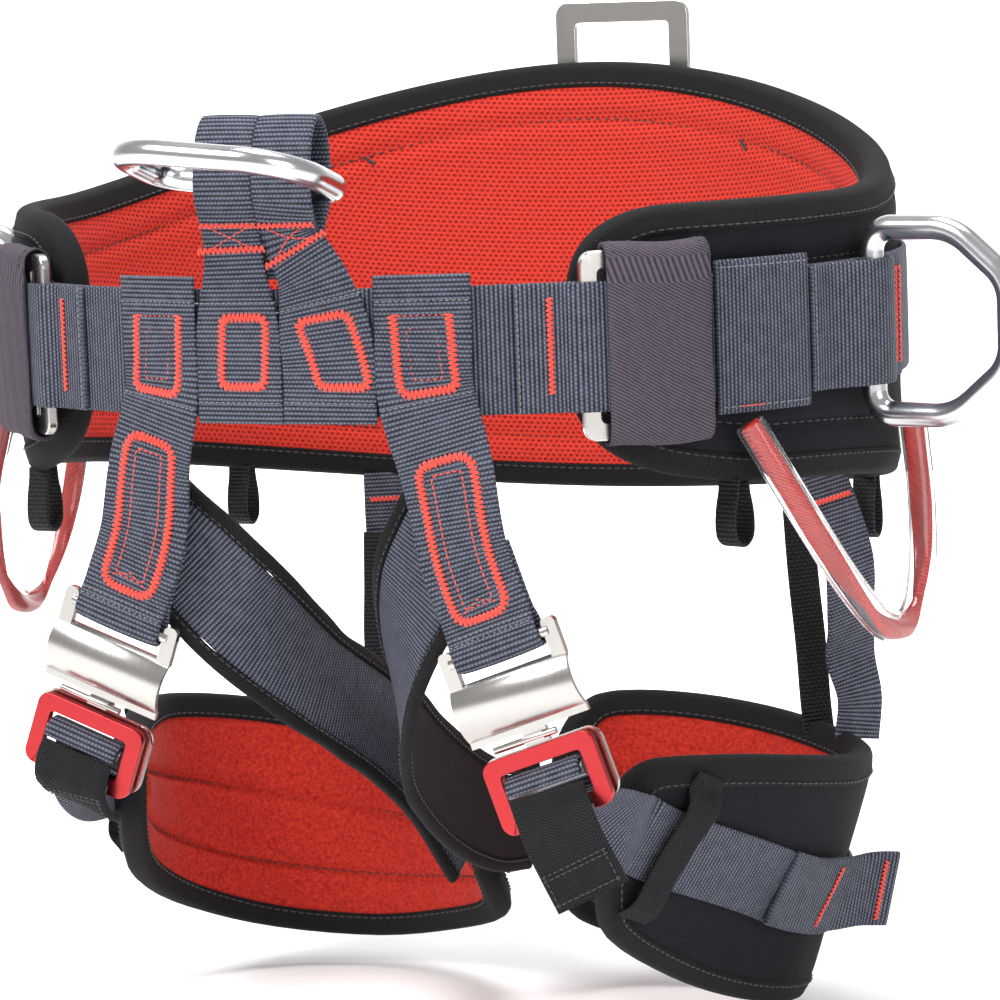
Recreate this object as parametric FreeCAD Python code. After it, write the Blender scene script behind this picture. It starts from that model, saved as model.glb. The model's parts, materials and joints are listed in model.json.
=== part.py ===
"""Climbing harness: a padded work-positioning waist belt with two leg loops.

Millimetres. The origin is the centre of the waist opening at the height of the belt
webbing's centreline. +Z is up, the wearer looks along -Y, and +X is the wearer's left.
Soft pieces are closed solids built from stations: four corners each, joined in order.
"""
import FreeCAD, Part

import math
import os

os.makedirs("parts", exist_ok=True)

# ---- driving dimensions ----
WAIST_A = 157.0          # half-axis of the waist opening, side to side
WAIST_B = 138.0          # half-axis of the waist opening, front to back
PAD_THICK = 12.0         # waist pad, body side to outer fabric
LEG_PAD_THICK = 10.0
BINDING_WIDTH = 10.0     # edge tape on the pads
BINDING_PROUD = 0.6      # edge tape stands this far off the fabric
SKIN = 2.0               # outer fabric and lining thickness in the stack
BELT_WEB = 45.0          # belt webbing width
STRAP_WEB = 34.0         # down strap and leg webbing width
WEB_THICK = 2.0
GAP = 0.4                # clear space between stacked pieces
PAD_END = 36.0           # belt angle where the waist pad starts, from the front centre
PAD_SPANS = 44           # straight spans of the waist pad between its rounded ends
FRONT_TURN = 1.5         # the front panels sit this many degrees to the wearer's left

# ---- belt layers, as distances outwards from the waist opening ----
SLEEVE_IN = PAD_THICK + BINDING_PROUD + 0.8
WEB_LAYER = SLEEVE_IN + 0.5 + GAP + WEB_THICK / 2
SECOND_LAYER = WEB_LAYER + WEB_THICK + GAP
PLATE_LAYER = WEB_LAYER + WEB_THICK / 2 + GAP + 1.75
OVER_PLATE = PLATE_LAYER + 1.75 + GAP + WEB_THICK / 2
SLEEVE_OUT = OVER_PLATE + WEB_THICK / 2 + GAP + 0.6

SIDES = (("left", 1), ("right", -1))

# ---- waist hardware ----
SLEEVE_HALF = 35.0       # half height of the keeper sleeve
SLEEVE_THICK = 1.0
BUCKLE_ANGLE = 41.3
RING_ANGLE = 81.0        # side rings, from the front centre
RING_BAR = 9.0
RING_OFFSET = WEB_LAYER + WEB_THICK / 2 + GAP + RING_BAR / 2
REAR_RING_X, REAR_RING_Z = 8.0, 66.0  # middle and lower edge of the rear ring
REAR_RING_BAR = 8.5
VENTRAL_AT = (-6.0, -152.5, 59.0)     # centre of the ventral ring's rear bar
VENTRAL_WIDTH, VENTRAL_DEPTH, VENTRAL_BAR = 80.0, 54.0, 9.0
VENTRAL_RISE = 16.0      # degrees the ventral ring's front is raised
VENTRAL_ROLL = 5.0       # degrees it hangs down towards the wearer's left
# tool loops: side, belt angle, how far the loop's plane is turned outwards
TOOL_LOOPS = {"front_left": (1, 59.0, -0.3), "front_right": (-1, 59.0, 0.75),
              "rear_left": (1, 124.0, 0.75), "rear_right": (-1, 124.0, -0.75)}
GEAR_LOOP = ((150, -84, -31), (163, -76, -58), (174, -56, -90), (180, -30, -112), (182, -6, -113),
             (181, 10, -92), (178, 18, -66), (175, 20, -43))    # its route, wearer's left

# ---- leg connectors ----
CONNECTOR_TILT = 20.0    # the connectors lean outwards with the down straps
CONNECTOR_BAR = 2.2      # radius of the bar in the down strap's fold
CONNECTOR_AT = {"left": (80, -149, -102), "right": (-68, -149, -96)}
SLIDER_Z = -48.5         # adjuster bar, below the connector's upper bar
LEG_WEB = 29.0           # leg webbing width

# ---- leg pads: top edge then bottom edge of the inner face, from the outer front end round the back ----
LEG_PADS = {
    "left": ((99, -101, -150, 87, -98, -200), (110, -80, -150, 85, -80, -218),
             (128, -47, -154, 93, -45, -238), (142, -13, -160, 102, -13, -252),
             (144, 23, -166, 110, 19, -262), (130, 62, -168, 102, 55, -268),
             (94, 87, -164, 72, 77, -267), (57, 94, -160, 44, 78, -261),
             (28, 84, -158, 24, 66, -251), (14, 60, -161, 14, 46, -238)),
    "right": ((-119, -42, -155, -128, -32, -206), (-138, 0, -155, -141, 2, -228),
              (-146, 36, -157, -141, 38, -246), (-127, 70, -164, -121, 68, -260),
              (-98, 82, -172, -82, 80, -264), (-62, 70, -181, -46, 72, -258),
              (-34, 46, -190, -18, 52, -248), (-14, 20, -202, -10, 28, -234)),
}
LEG_STEPS = 4            # finer stations between those, along a smooth line

# ---- leg webs ----
LEG_WEB_LEAD = {
    "left": [(104, -124, -163), (109, -108, -172)],
    "right": [(-98, -124, -158), (-116, -88, -170)],
}
LEG_WEB_ROUTE = {
    "left": ((0.6, 0.4), (1.5, 0.44), (2.5, 0.48), (3.5, 0.54), (4.5, 0.56), (5.5, 0.54),
             (6.5, 0.5), (7.6, 0.46), (8.7, 0.42)),
    "right": ((0.5, 0.42), (1.5, 0.5), (2.5, 0.52), (3.5, 0.5), (4.5, 0.48), (5.5, 0.45),
              (6.5, 0.42)),
}
LEG_TAIL = {
    "left": [(100, -154.4, -157), (107, -159, -168), (116, -158, -186)],
    "right": [(-87.3, -154.9, -149.2), (-85.3, -157, -157), (-79.5, -156.5, -165)],
}
TAIL_ACROSS = {"left": (0.86, 0.0, 0.5), "right": (0.82, 0.0, -0.57)}
LEG_STOP = {
    "left": ((2.9, 0.5, 0), (3.4, 0.52, 0.5), (3.9, 0.51, 3), (4.15, 0.48, 9), (4.3, 0.46, 17)),
    "right": ((2.25, 0.5, 0), (2.5, 0.5, 0.3), (2.75, 0.5, 1.0), (3.0, 0.5, 1.8)),
}

# ---- crotch straps: centre, direction to the upper edge, width ----
CROTCH_STRAPS = {
    "left": (((58, -139, -62), (-0.4, 0, 0.9), 44), ((39, -134.5, -92), (-0.55, 0.2, 0.8), 43),
             ((24, -115, -122), (-0.5, 0.6, 0.62), 42), ((15, -84, -150), (-0.15, 0.75, 0.64), 42),
             ((10, -40, -176), (0, 0.5, 0.86), 43), ((7, 4, -194), (0, 0.3, 0.95), 43),
             ((3.5, 46, -202), (0.05, 0.1, 1), 43)),
    "right": (((-60, -142.5, -60), (0.22, 0, 0.97), 44), ((-43, -140.5, -76), (0.22, 0, 0.97), 44),
              ((-27, -130, -97), (0.2, 0.05, 0.97), 44),
              ((-14, -100, -124), (0, 0.3, 0.95), 44), ((-8, -60, -148), (0, 0.6, 0.8), 44),
              ((-7, -25, -172), (0, 0.7, 0.7), 43), ((-2, 4, -204), (0.1, 0.6, 0.8), 42)),
}

# ---- rear straps: centre, direction across ----
REAR_STRAPS = {
    "rear_web_left": (((124, 63, -73), (0.6, 0.8, 0)), ((134, 64, -98), (0.6, 0.8, 0)),
                      ((131, 70, -124), (0.5, 0.85, 0)), ((128, 77, -136), (0.6, 0.8, 0)),
                      ((131, 78, -148), (0.5, 0.86, 0))),
    "rear_elastic_left": (((104, 86, -76), (0.7, 0.7, 0)), ((106, 85, -104), (0.7, 0.7, 0)),
                          ((109, 84, -134), (0.7, 0.7, 0)), ((111, 83, -155), (0.7, 0.7, 0))),
    "rear_web_right": (((-86, 118, -82), (0.8, 0.6, 0)), ((-86, 118, -96), (0.8, 0.6, 0)),
                       ((-85, 117, -108), (0.8, 0.6, 0))),
    "rear_elastic_right": (((-88, 110, -100), (0.85, 0.5, 0)), ((-88, 108, -122), (0.8, 0.6, 0)),
                           ((-86, 102, -146), (0.8, 0.6, 0)), ((-81, 93, -165), (0.8, 0.6, 0))),
}


# ---- small vector helpers ----
def add(a, b):
    return tuple(x + y for x, y in zip(a, b))


def sub(a, b):
    return tuple(x - y for x, y in zip(a, b))


def mul(a, k):
    return tuple(x * k for x in a)


def dot(a, b):
    return sum(x * y for x, y in zip(a, b))


def cross(a, b):
    return (a[1] * b[2] - a[2] * b[1], a[2] * b[0] - a[0] * b[2], a[0] * b[1] - a[1] * b[0])


def unit(a):
    return mul(a, 1 / math.sqrt(dot(a, a)))


def mix(a, b, t):
    return tuple(x + (y - x) * t for x, y in zip(a, b))


def smooth(t):
    t = max(0.0, min(1.0, t))
    return t * t * (3 - 2 * t)


def curve(points, steps):
    """A smooth line through points of any dimension, with that many steps per span."""
    first = sub(mul(points[0], 2), points[1])
    last = sub(mul(points[-1], 2), points[-2])
    line = [first] + list(points) + [last]
    out = []
    for i in range(1, len(line) - 2):
        p, q, r, s = line[i - 1:i + 3]
        for k in range(steps):
            t = k / steps
            out.append(tuple(
                0.5 * (2 * b + (c - a) * t + (2 * a - 5 * b + 4 * c - d) * t * t
                       + (3 * b - a - 3 * c + d) * t ** 3)
                for a, b, c, d in zip(p, q, r, s)))
    out.append(tuple(points[-1]))
    return out


LEG_LINES = {side: curve(stations, LEG_STEPS) for side, stations in LEG_PADS.items()}


# ---- solids from stations ----
def solid_from_stations(stations, closed=False):
    """A closed solid through stations of equal corner count; closed joins the last to the first.

    The two halves of a station's outline are split along the same diagonals, so that
    stacked layers meet without crossing.
    """
    faces = []
    vectors = [[FreeCAD.Vector(*p) for p in s] for s in stations]
    count = len(vectors[0])
    pairs = list(zip(vectors, vectors[1:]))
    if closed:
        pairs.append((vectors[-1], vectors[0]))
    for s, t in pairs:
        for i in range(count):
            j = (i + 1) % count
            if i < count // 2:
                faces.append(triangle(s[i], t[i], t[j]))
                faces.append(triangle(s[i], t[j], s[j]))
            else:
                faces.append(triangle(s[i], t[i], s[j]))
                faces.append(triangle(t[i], t[j], s[j]))
    if not closed:
        for end in (vectors[0], vectors[-1]):
            for i in range(1, count - 1):
                faces.append(triangle(end[0], end[i], end[i + 1]))
    solid = Part.Solid(Part.Shell(faces))
    if solid.Volume < 0:
        return solid_from_stations([s[::-1] for s in stations], closed)
    return solid


def triangle(a, b, c):
    return Part.Face(Part.makePolygon([a, b, c, a]))


def frames(points, across, closed=False):
    """Across and outward directions at each point of a strap's line."""
    out = []
    count = len(points)
    for i in range(count):
        before = points[i - 1] if closed or i else points[i]
        after = points[(i + 1) % count] if closed or i < count - 1 else points[i]
        along = unit(sub(after, before))
        side = across[i] if isinstance(across, list) else across
        side = unit(sub(side, mul(along, dot(side, along))))
        out.append((side, cross(along, side)))
    return out


def ribbon(points, directions, side_span, out_span, closed=False):
    """A flat strip in the frames of a line; the span across is a pair or one pair per point."""
    stations = []
    for i, (point, (side, out)) in enumerate(zip(points, directions)):
        low, high = side_span[i] if isinstance(side_span, list) else side_span
        stations.append([add(add(point, mul(side, a)), mul(out, b)) for a, b in (
            (low, out_span[0]), (high, out_span[0]), (high, out_span[1]), (low, out_span[1]))])
    return solid_from_stations(stations, closed)


def strap(points, across, width, thick=WEB_THICK, closed=False):
    """Flat webbing along a line of points; width is a number or one per point."""
    widths = width if isinstance(width, list) else [width] * len(points)
    spans = [(-w / 2, w / 2) for w in widths]
    return ribbon(points, frames(points, across, closed), spans, (-thick / 2, thick / 2), closed)


# ---- the waist belt ----
def belt(angle, out, z):
    """A point of the belt: angle in degrees from the front centre, positive to the wearer's left."""
    t = math.radians(angle)
    return ((WAIST_A + out) * math.sin(t), -(WAIST_B + out) * math.cos(t), z)


def outward(angle):
    t = math.radians(angle)
    return unit((math.sin(t) / WAIST_A, -math.cos(t) / WAIST_B, 0))


def belt_angles(start, stop, step):
    count = max(1, round(abs(stop - start) / step))
    return [start + (stop - start) * i / count for i in range(count + 1)]


def pad_edges(angle, inset):
    """Lowest and highest z of the waist pad at an angle, taller behind, rounded at its ends."""
    from_front = 180 - abs(180 - angle % 360)
    top = 47 + 43 * smooth((from_front - 84) / 96) - inset
    low = -44 - 10 * smooth((from_front - 36) / 30) - 30 * smooth((from_front - 60) / 120) + inset
    run = max(0.0, min(1.0, (from_front - PAD_END) / 15))
    share = 0.3 + 0.7 * (1 - (1 - run) ** 2.4) ** (1 / 2.4)
    middle = 3.0
    return middle + (low - middle) * share, middle + (top - middle) * share


def pad_angles(inset):
    start = PAD_END + inset / 2.7
    first = [start + k for k in (0, 1.0, 2.5, 5, 8.5, 13)]
    last = [360 - a for a in reversed(first)]
    span = last[0] - first[-1]
    middle = [first[-1] + span * k / PAD_SPANS for k in range(1, PAD_SPANS)]
    return first + middle + last


def pad_layer(inner, outer, inset):
    stations = []
    for angle in pad_angles(inset):
        low, top = pad_edges(angle, inset)
        stations.append([belt(angle, inner, low), belt(angle, inner, top),
                         belt(angle, outer, top), belt(angle, outer, low)])
    return solid_from_stations(stations)


def pad_binding():
    """Edge tape all round the waist pad, as one closed frame."""
    rim, inside = [], []
    for line, inset in ((rim, 0.0), (inside, BINDING_WIDTH)):
        angles = pad_angles(inset)
        line += [(a, pad_edges(a, inset)[1]) for a in angles]
        line += [(a, pad_edges(a, inset)[0]) for a in reversed(angles)]
    low, high = -BINDING_PROUD, PAD_THICK + BINDING_PROUD
    stations = [[belt(a, low, z), belt(a, high, z), belt(b, high, w), belt(b, low, w)]
                for (a, z), (b, w) in zip(rim, inside)]
    return solid_from_stations(stations, closed=True)


def waist_pad():
    inset = BINDING_WIDTH + 0.3
    return {
        "waist_pad_lining": pad_layer(0, SKIN, inset),
        "waist_pad_foam": pad_layer(SKIN + 0.1, PAD_THICK - SKIN - 0.1, inset),
        "waist_pad_shell": pad_layer(PAD_THICK - SKIN, PAD_THICK, inset),
        "waist_pad_binding": pad_binding(),
    }


def belt_strap(stops, width, thick=WEB_THICK, steps=4):
    """Webbing round the belt through (angle, distance out) stops."""
    line = [belt(a, out, 0) for a, out in curve(stops, steps)]
    return strap(line, (0, 0, 1), width, thick)


def belt_webs():
    """Belt webbing, the ends that lap back at the buckles, the hip layers and their sleeves."""
    flats = [FRONT_TURN + a for a in (-22.5, -11.25, 0, 11.25, 22.5)]    # one flat under each front panel
    bends = [-49.5, -45, -40.5, -36] + flats + [36, 40.5, 45, 49.5]
    front = [belt_strap([(a, WEB_LAYER) for a in bends], BELT_WEB, steps=1)]
    hips, sleeves = [], []
    for _, s in SIDES:
        tail = [(s * a, out) for a, out in (
            (29, SECOND_LAYER), (34, SECOND_LAYER), (36.2, OVER_PLATE), (39, OVER_PLATE),
            (40.2, OVER_PLATE - 1.0))]
        front.append(belt_strap(tail, BELT_WEB, steps=3))
        hips.append(belt_strap([(s * a, SECOND_LAYER) for a in (55, 60, 64, 68)], BELT_WEB + 9, steps=2))
        sleeves.append(keeper_sleeve(s))
    return {
        "waist_webbing": belt_strap([(a, WEB_LAYER) for a in belt_angles(50.5, 309.5, 24)], BELT_WEB),
        "front_belt_web": Part.makeCompound(front),
        "hip_webs": Part.makeCompound(hips),
        "keeper_sleeves": Part.makeCompound(sleeves),
    }


def flat_tube_outline(low_out, high_out, half_height, grow):
    """A flat sleeve's section as (distance out, z) points, grown by a distance."""
    middle = (low_out + high_out) / 2
    reach = (high_out - low_out) / 2 + grow
    straight = half_height - (high_out - low_out) / 2
    outline = []
    for end in (1, -1):
        for k in range(5):
            turn = math.radians(45 * k)
            outline.append((middle + end * reach * math.cos(turn),
                            end * (straight + reach * math.sin(turn))))
    return outline


def keeper_sleeve(s):
    """Flat fabric tube round the belt webbing and the rear of the waist buckle."""
    outer = flat_tube_outline(SLEEVE_IN, SLEEVE_OUT, SLEEVE_HALF, SLEEVE_THICK / 2)
    inner = flat_tube_outline(SLEEVE_IN, SLEEVE_OUT, SLEEVE_HALF, -SLEEVE_THICK / 2)
    angles = belt_angles(s * 39.4, s * 52.2, 3.2)
    longer = belt_angles(s * 38.4, s * 53.2, 3.7)
    outside = solid_from_stations([[belt(a, out, z) for out, z in outer] for a in angles])
    hollow = solid_from_stations([[belt(a, out, z) for out, z in inner] for a in longer])
    return outside.cut(hollow)


# ---- metal pieces ----
def placed(shape, place):
    """Moves a shape from its own axes to (origin, x direction, z direction)."""
    origin, x_axis, z_axis = place
    x = unit(x_axis)
    z = unit(sub(z_axis, mul(x, dot(z_axis, x))))
    y = cross(z, x)
    rows = [x[0], y[0], z[0], origin[0], x[1], y[1], z[1], origin[1],
            x[2], y[2], z[2], origin[2], 0, 0, 0, 1]
    moved = shape.copy()
    moved.Placement = FreeCAD.Placement(FreeCAD.Matrix(*rows))
    return moved


def at(place, x, y, z):
    """The point at (x, y, z) of a placed piece's own axes."""
    origin, x_axis, z_axis = place
    x_dir = unit(x_axis)
    z_dir = unit(sub(z_axis, mul(x_dir, dot(z_axis, x_dir))))
    y_dir = cross(z_dir, x_dir)
    return add(add(origin, mul(x_dir, x)), add(mul(y_dir, y), mul(z_dir, z)))


def rounded_wire(corners, radii, closed=True):
    """Straight runs joined by tangent arcs through the corners."""
    edges = []
    here = None
    count = len(corners)
    order = list(range(count)) if closed else list(range(1, count - 1))
    joints = []
    for i in order:
        before, corner, after = corners[i - 1], corners[i], corners[(i + 1) % count]
        u, v = unit(sub(before, corner)), unit(sub(after, corner))
        turn = math.pi - math.acos(max(-1.0, min(1.0, dot(u, v))))
        radius = radii[i] if isinstance(radii, list) else radii
        reach = radius * math.tan(turn / 2)
        middle = unit(add(u, v))
        bulge = radius / math.cos(turn / 2) - radius
        joints.append([add(corner, mul(u, reach)), add(corner, mul(middle, bulge)),
                       add(corner, mul(v, reach))])
    start = joints[-1][2] if closed else corners[0]
    here = start
    for enter, middle, leave in joints:
        edges.append(line(here, enter))
        edges.append(Part.Arc(FreeCAD.Vector(*enter), FreeCAD.Vector(*middle),
                              FreeCAD.Vector(*leave)).toShape())
        here = leave
    if not closed:
        edges.append(line(here, corners[-1]))
    return Part.Wire(edges), start, unit(sub(joints[0][0], start))


def line(a, b):
    return Part.LineSegment(FreeCAD.Vector(*a), FreeCAD.Vector(*b)).toShape()


def round_bar(corners, radii, bar_radius, closed=True):
    """A round bar bent along straight runs and arcs."""
    wire, start, along = rounded_wire(corners, radii, closed)
    disc = Part.Circle(FreeCAD.Vector(*start), FreeCAD.Vector(*along), bar_radius).toShape()
    return wire.makePipeShell([Part.Wire(disc)], True, True)


def cylinder(a, b, radius):
    span = sub(b, a)
    return Part.makeCylinder(radius, math.sqrt(dot(span, span)), FreeCAD.Vector(*a), FreeCAD.Vector(*span))


def block(low, high):
    size = sub(high, low)
    return Part.makeBox(size[0], size[1], size[2], FreeCAD.Vector(*low))


def plate(width, low, high, radius, y_low, y_high):
    """An upright rounded plate, centred on x, from z low to z high."""
    half = width / 2
    corners = [(-half, y_low, low), (half, y_low, low), (half, y_low, high), (-half, y_low, high)]
    wire, _, _ = rounded_wire(corners, radius)
    return Part.Face(wire).extrude(FreeCAD.Vector(0, y_high - y_low, 0))


def window(width, low, high, bar, radius, y_low, y_high, edge=0.0):
    """A rounded rectangular ring cut from plate."""
    outer = plate(width, low, high, radius, y_low, y_high)
    inner = plate(width - 2 * bar, low + bar, high - bar, max(1.0, radius - bar / 2), y_low - 1, y_high + 1)
    ring = outer.cut(inner)
    if edge:
        ring = ring.makeFillet(edge, ring.Edges)
    return ring


def waist_buckle(s):
    """Flat steel frame at the end of the pad, and the bar that the webbing locks on."""
    place = (belt(s * BUCKLE_ANGLE, PLATE_LAYER, 0), mul(turned(s * BUCKLE_ANGLE), -1), (0, 0, 1))
    frame = window(28, -33, 33, 6.5, 5, -1.75, 1.75, 0.7)
    bar = cylinder((0, 0, -26.3), (0, 0, 26.3), 1.75)
    return placed(frame, place), placed(bar, place)


def turned(angle):
    """The belt's direction at an angle, towards the wearer's left at the front."""
    out = outward(angle)
    return cross((0, 0, 1), out)


def ventral():
    """Ventral ring and the two webs that carry it above the belt."""
    tilt = math.radians(VENTRAL_RISE)
    reach = VENTRAL_DEPTH - VENTRAL_BAR
    half = (VENTRAL_WIDTH - VENTRAL_BAR) / 2
    roll = math.radians(VENTRAL_ROLL)
    x_axis = (math.cos(roll), 0, -math.sin(roll))
    place = (VENTRAL_AT, x_axis, (0, math.sin(tilt), math.cos(tilt)))
    corners = [(-half, 0, 0), (half, 0, 0), (half, -reach, 0), (-half, -reach, 0)]
    ring = round_bar(corners, [11, 11, 21, 21], VENTRAL_BAR / 2)
    wide, narrow = 34, 21        # each web's width on the belt and round the ring's bar
    bend = 12                    # the point of the line where the web has turned over the bar
    webs = []
    for _, s in SIDES:
        panel = belt(FRONT_TURN + s * 5.6, SECOND_LAYER, 0)
        x_low, x_high = panel[0], VENTRAL_AT[0] + 4 + s * 10.9
        x_middle = x_low + (x_high - x_low) * 0.35
        front = panel[1]
        stops = [(x_low, front, -21), (x_low, front, 0), (x_middle, front, 24), (x_high, front - 0.4, 41),
                 (x_high, -160.6, 54), (x_high, -160.6, 64), (x_high, -157.5, 76), (x_high, -151.5, 82),
                 (x_high, -146, 76), (x_high, -144.6, 64), (x_high, -144.8, 54), (x_high, front + 2.5, 41),
                 (x_high, front + 2.5, 28)]
        points = curve(stops, 3)
        width = [wide - (wide - narrow) * smooth((p[2] - 6) / 34) for p in points[:bend]]
        width += [narrow] * (len(points) - bend)
        flat = turned(FRONT_TURN + s * 5.6)
        across = [mix(flat, (1, 0, 0), smooth((p[2] - 22) / 20)) for p in points]
        webs.append(strap(points, across, width))
    return placed(ring, place), Part.makeCompound(webs)


def side_ring(s):
    """Side attachment ring and the web that holds its straight bar against the belt."""
    pivot = belt(s * RING_ANGLE, RING_OFFSET, 0)
    out = outward(s * RING_ANGLE)
    corners = [(0, 0, -33.5), (0, 0, 33.5), (33, 0, 33.5), (55, 0, 15), (55, 0, -15), (33, 0, -33.5)]
    ring = round_bar(corners, [8.5, 8.5, 22, 16, 16, 22], RING_BAR / 2)
    lap = SECOND_LAYER + GAP
    crest = RING_OFFSET + RING_BAR / 2 + GAP + WEB_THICK / 2
    stops = ((69.2, lap), (73, lap), (RING_ANGLE - 3.2, crest - 2.4), (RING_ANGLE, crest),
             (RING_ANGLE + 3.2, crest - 2.4), (RING_ANGLE + 7, lap), (RING_ANGLE + 11.5, lap))
    web = belt_strap([(s * a, out_by) for a, out_by in stops], BELT_WEB, steps=2)
    return placed(ring, (pivot, out, (0, 0, 1))), web


def rear_ring():
    """Flat steel ring standing above the back of the belt, in its web loop."""
    bar_z = REAR_RING_Z + REAR_RING_BAR / 2
    wrap = math.hypot(REAR_RING_BAR / 2, 1.5) + 1.5 * GAP + WEB_THICK / 2
    y_pivot = WAIST_B + PAD_THICK + BINDING_PROUD + GAP + WEB_THICK / 2 + wrap
    ring = window(58, 0, 48, REAR_RING_BAR, 6, -1.5, 1.5, 0.6)
    place = ((REAR_RING_X, y_pivot, REAR_RING_Z), (1, 0, 0), (0, 0, 1))
    flat = WAIST_B + SECOND_LAYER
    stops = [(REAR_RING_X, flat, 26), (REAR_RING_X, flat - 1.2, 44)]
    for turn in range(-30, 211, 30):
        t = math.radians(turn)
        stops.append((REAR_RING_X, y_pivot - wrap * math.cos(t), bar_z + wrap * math.sin(t)))
    stops += [(REAR_RING_X, flat + 2.2, 44), (REAR_RING_X, flat + 2.6, 26)]
    web = strap(curve(stops, 2), (1, 0, 0), 38)
    return placed(ring, place), web


def gear_loop(s):
    """Clear tube round a red web, hung from two points below the belt webbing."""
    corners = [(s * x, y, z) for x, y, z in GEAR_LOOP]
    lengths = [math.dist(a, b) for a, b in zip(corners, corners[1:])]
    radii = [0.0] * len(corners)
    for i in range(1, len(corners) - 1):
        u = unit(sub(corners[i - 1], corners[i]))
        v = unit(sub(corners[i + 1], corners[i]))
        turn = math.pi - math.acos(dot(u, v))
        radii[i] = 0.45 * min(lengths[i - 1], lengths[i]) / math.tan(turn / 2)
    outer = round_bar(corners, radii, 5.5, closed=False)
    hollow = round_bar(corners, radii, 4.4, closed=False)
    web = round_bar(corners, radii, 3.8, closed=False)
    return outer.cut(hollow), web


def tool_loop(s, angle, turn_out):
    """Small web loop that hangs below the pad's edge."""
    low, _ = pad_edges(angle, 0)
    slant = unit(add(turned(s * angle), mul(outward(s * angle), turn_out)))
    across = unit(cross(slant, (0, 0, 1)))
    centre = belt(s * angle, PAD_THICK / 2, low)
    shape = [(-3.2, -3.6), (-4.6, -9), (-5.2, -15), (-4.2, -20), (0, -22.5), (4.2, -20), (5.2, -15),
             (4.6, -9), (3.2, -3.6)]
    points = [add(add(centre, mul(slant, a)), (0, 0, z)) for a, z in curve(shape, 2)]
    return strap(points, across, 9, 1.2)


# ---- leg loops ----
def connector_place(side):
    """Where a leg connector hangs: its upper bar's centre and its own axes."""
    s = 1 if side == "left" else -1
    tilt = math.radians(CONNECTOR_TILT) * s
    return CONNECTOR_AT[side], (math.cos(tilt), 0, math.sin(tilt)), (-math.sin(tilt), 0, math.cos(tilt))


def connector(side):
    """Quick-release steel plates, red frame and slider bar of one leg loop, in their own axes."""
    place = connector_place(side)
    arc = Part.Arc(FreeCAD.Vector(0, 0.2, -8), FreeCAD.Vector(0, -4.4, -18), FreeCAD.Vector(0, 0.2, -28))
    back = Part.Arc(FreeCAD.Vector(0, 2.0, -28), FreeCAD.Vector(0, -2.4, -18), FreeCAD.Vector(0, 2.0, -8))
    section = Part.Wire([arc.toShape(), line((0, 0.2, -28), (0, 2.0, -28)), back.toShape(),
                         line((0, 2.0, -8), (0, 0.2, -8))])
    crown = Part.Face(section).extrude(FreeCAD.Vector(47, 0, 0))
    crown.translate(FreeCAD.Vector(-23.5, 0, 0))
    female = crown.fuse([
        block((-23.5, 0.2, -30.4), (23.5, 2.0, -27.6)),
        cylinder((-20, 0.4, 0), (20, 0.4, 0), CONNECTOR_BAR)])
    for end in (-1, 1):
        ear = plate(5.4, -11, 4.6, 2.2, -1.0, 2.0)
        ear.translate(FreeCAD.Vector(end * 20.8, 0, 0))
        female = female.fuse(ear)
    male = window(47, -61.5, -35.5, 4.2, 5.5, 2.8, 4.8).fuse([
        block((-4.8, 2.8, -38), (4.8, 4.8, -24)),
        block((-14, 2.8, -26.5), (14, 4.8, -22.5)),
        block((-4.0, 0.2, -34.5), (4.0, 3.0, -31.8)),
        cylinder((-16, 1.2, -33.2), (9, 1.2, -33.2), 1.3),
        cylinder((-18.6, 1.3, -40), (-18.6, 3, -40), 1.9),
        cylinder((18.6, 1.3, -40), (18.6, 3, -40), 1.9)])
    frame = window(44, -63, -36, 6.0, 4.5, -2.2, 1.3)
    frame = frame.cut(block((-9, -4, -66), (14, 4, -56)))
    slider = cylinder((-15.4, -0.4, SLIDER_Z), (15.4, -0.4, SLIDER_Z), 3.0)
    return {
        "connector_plate_" + side: placed(female.removeSplitter(), place),
        "connector_hook_" + side: placed(male.removeSplitter(), place),
        "adjuster_frame_" + side: placed(frame, place),
        "adjuster_bar_" + side: placed(slider, place),
    }


def down_strap(side):
    """Web from the belt's front panel down to the connector's upper bar, folded round it."""
    s = 1 if side == "left" else -1
    place = connector_place(side)
    angle = FRONT_TURN + s * 16.9
    wrap = CONNECTOR_BAR + GAP + WEB_THICK / 2
    top = [belt(angle, SECOND_LAYER, 23), belt(angle, SECOND_LAYER, 8), belt(angle, SECOND_LAYER, -14)]
    bend = mix(top[-1], at(place, 0, -1.3, 12), 0.35)
    bend = (bend[0], min(bend[1], top[-1][1] + 0.5), bend[2])
    near = [at(place, 0, -1.3, 34), at(place, 0, -1.6, 12), at(place, 0, -2.6, 6)]
    fold = [at(place, 0, 0.4 + wrap * math.sin(math.radians(t)), -wrap * math.cos(math.radians(t)))
            for t in (-90, -60, -30, 0, 30, 60, 90)]
    rear = [at(place, 0, 3.0, 6), at(place, 0, 1.2, 12), at(place, 0, 1.2, 34)]
    stops = top + [bend] + near + fold + rear
    points = curve(stops, 2)
    flat = turned(angle)
    across = [mix(flat, place[1], smooth((-16 - p[2]) / 45)) for p in points]
    return strap(points, across, STRAP_WEB)


def leg_point(side, u, v, out):
    """A point of a leg pad: station number, share of the height from the top, distance out."""
    line_of = LEG_LINES[side]
    whole = min(int(u * LEG_STEPS), len(line_of) - 2)
    here = mix(line_of[whole], line_of[whole + 1], u * LEG_STEPS - whole)
    ahead = sub(line_of[whole + 1], line_of[whole])
    top, low = here[:3], here[3:]
    along = mix(ahead[:3], ahead[3:], v)
    normal = cross(along, sub(top, low))
    turn_out = 1 if side == "left" else -1
    return add(mix(top, low, v), mul(unit(normal), out * turn_out))


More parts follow.
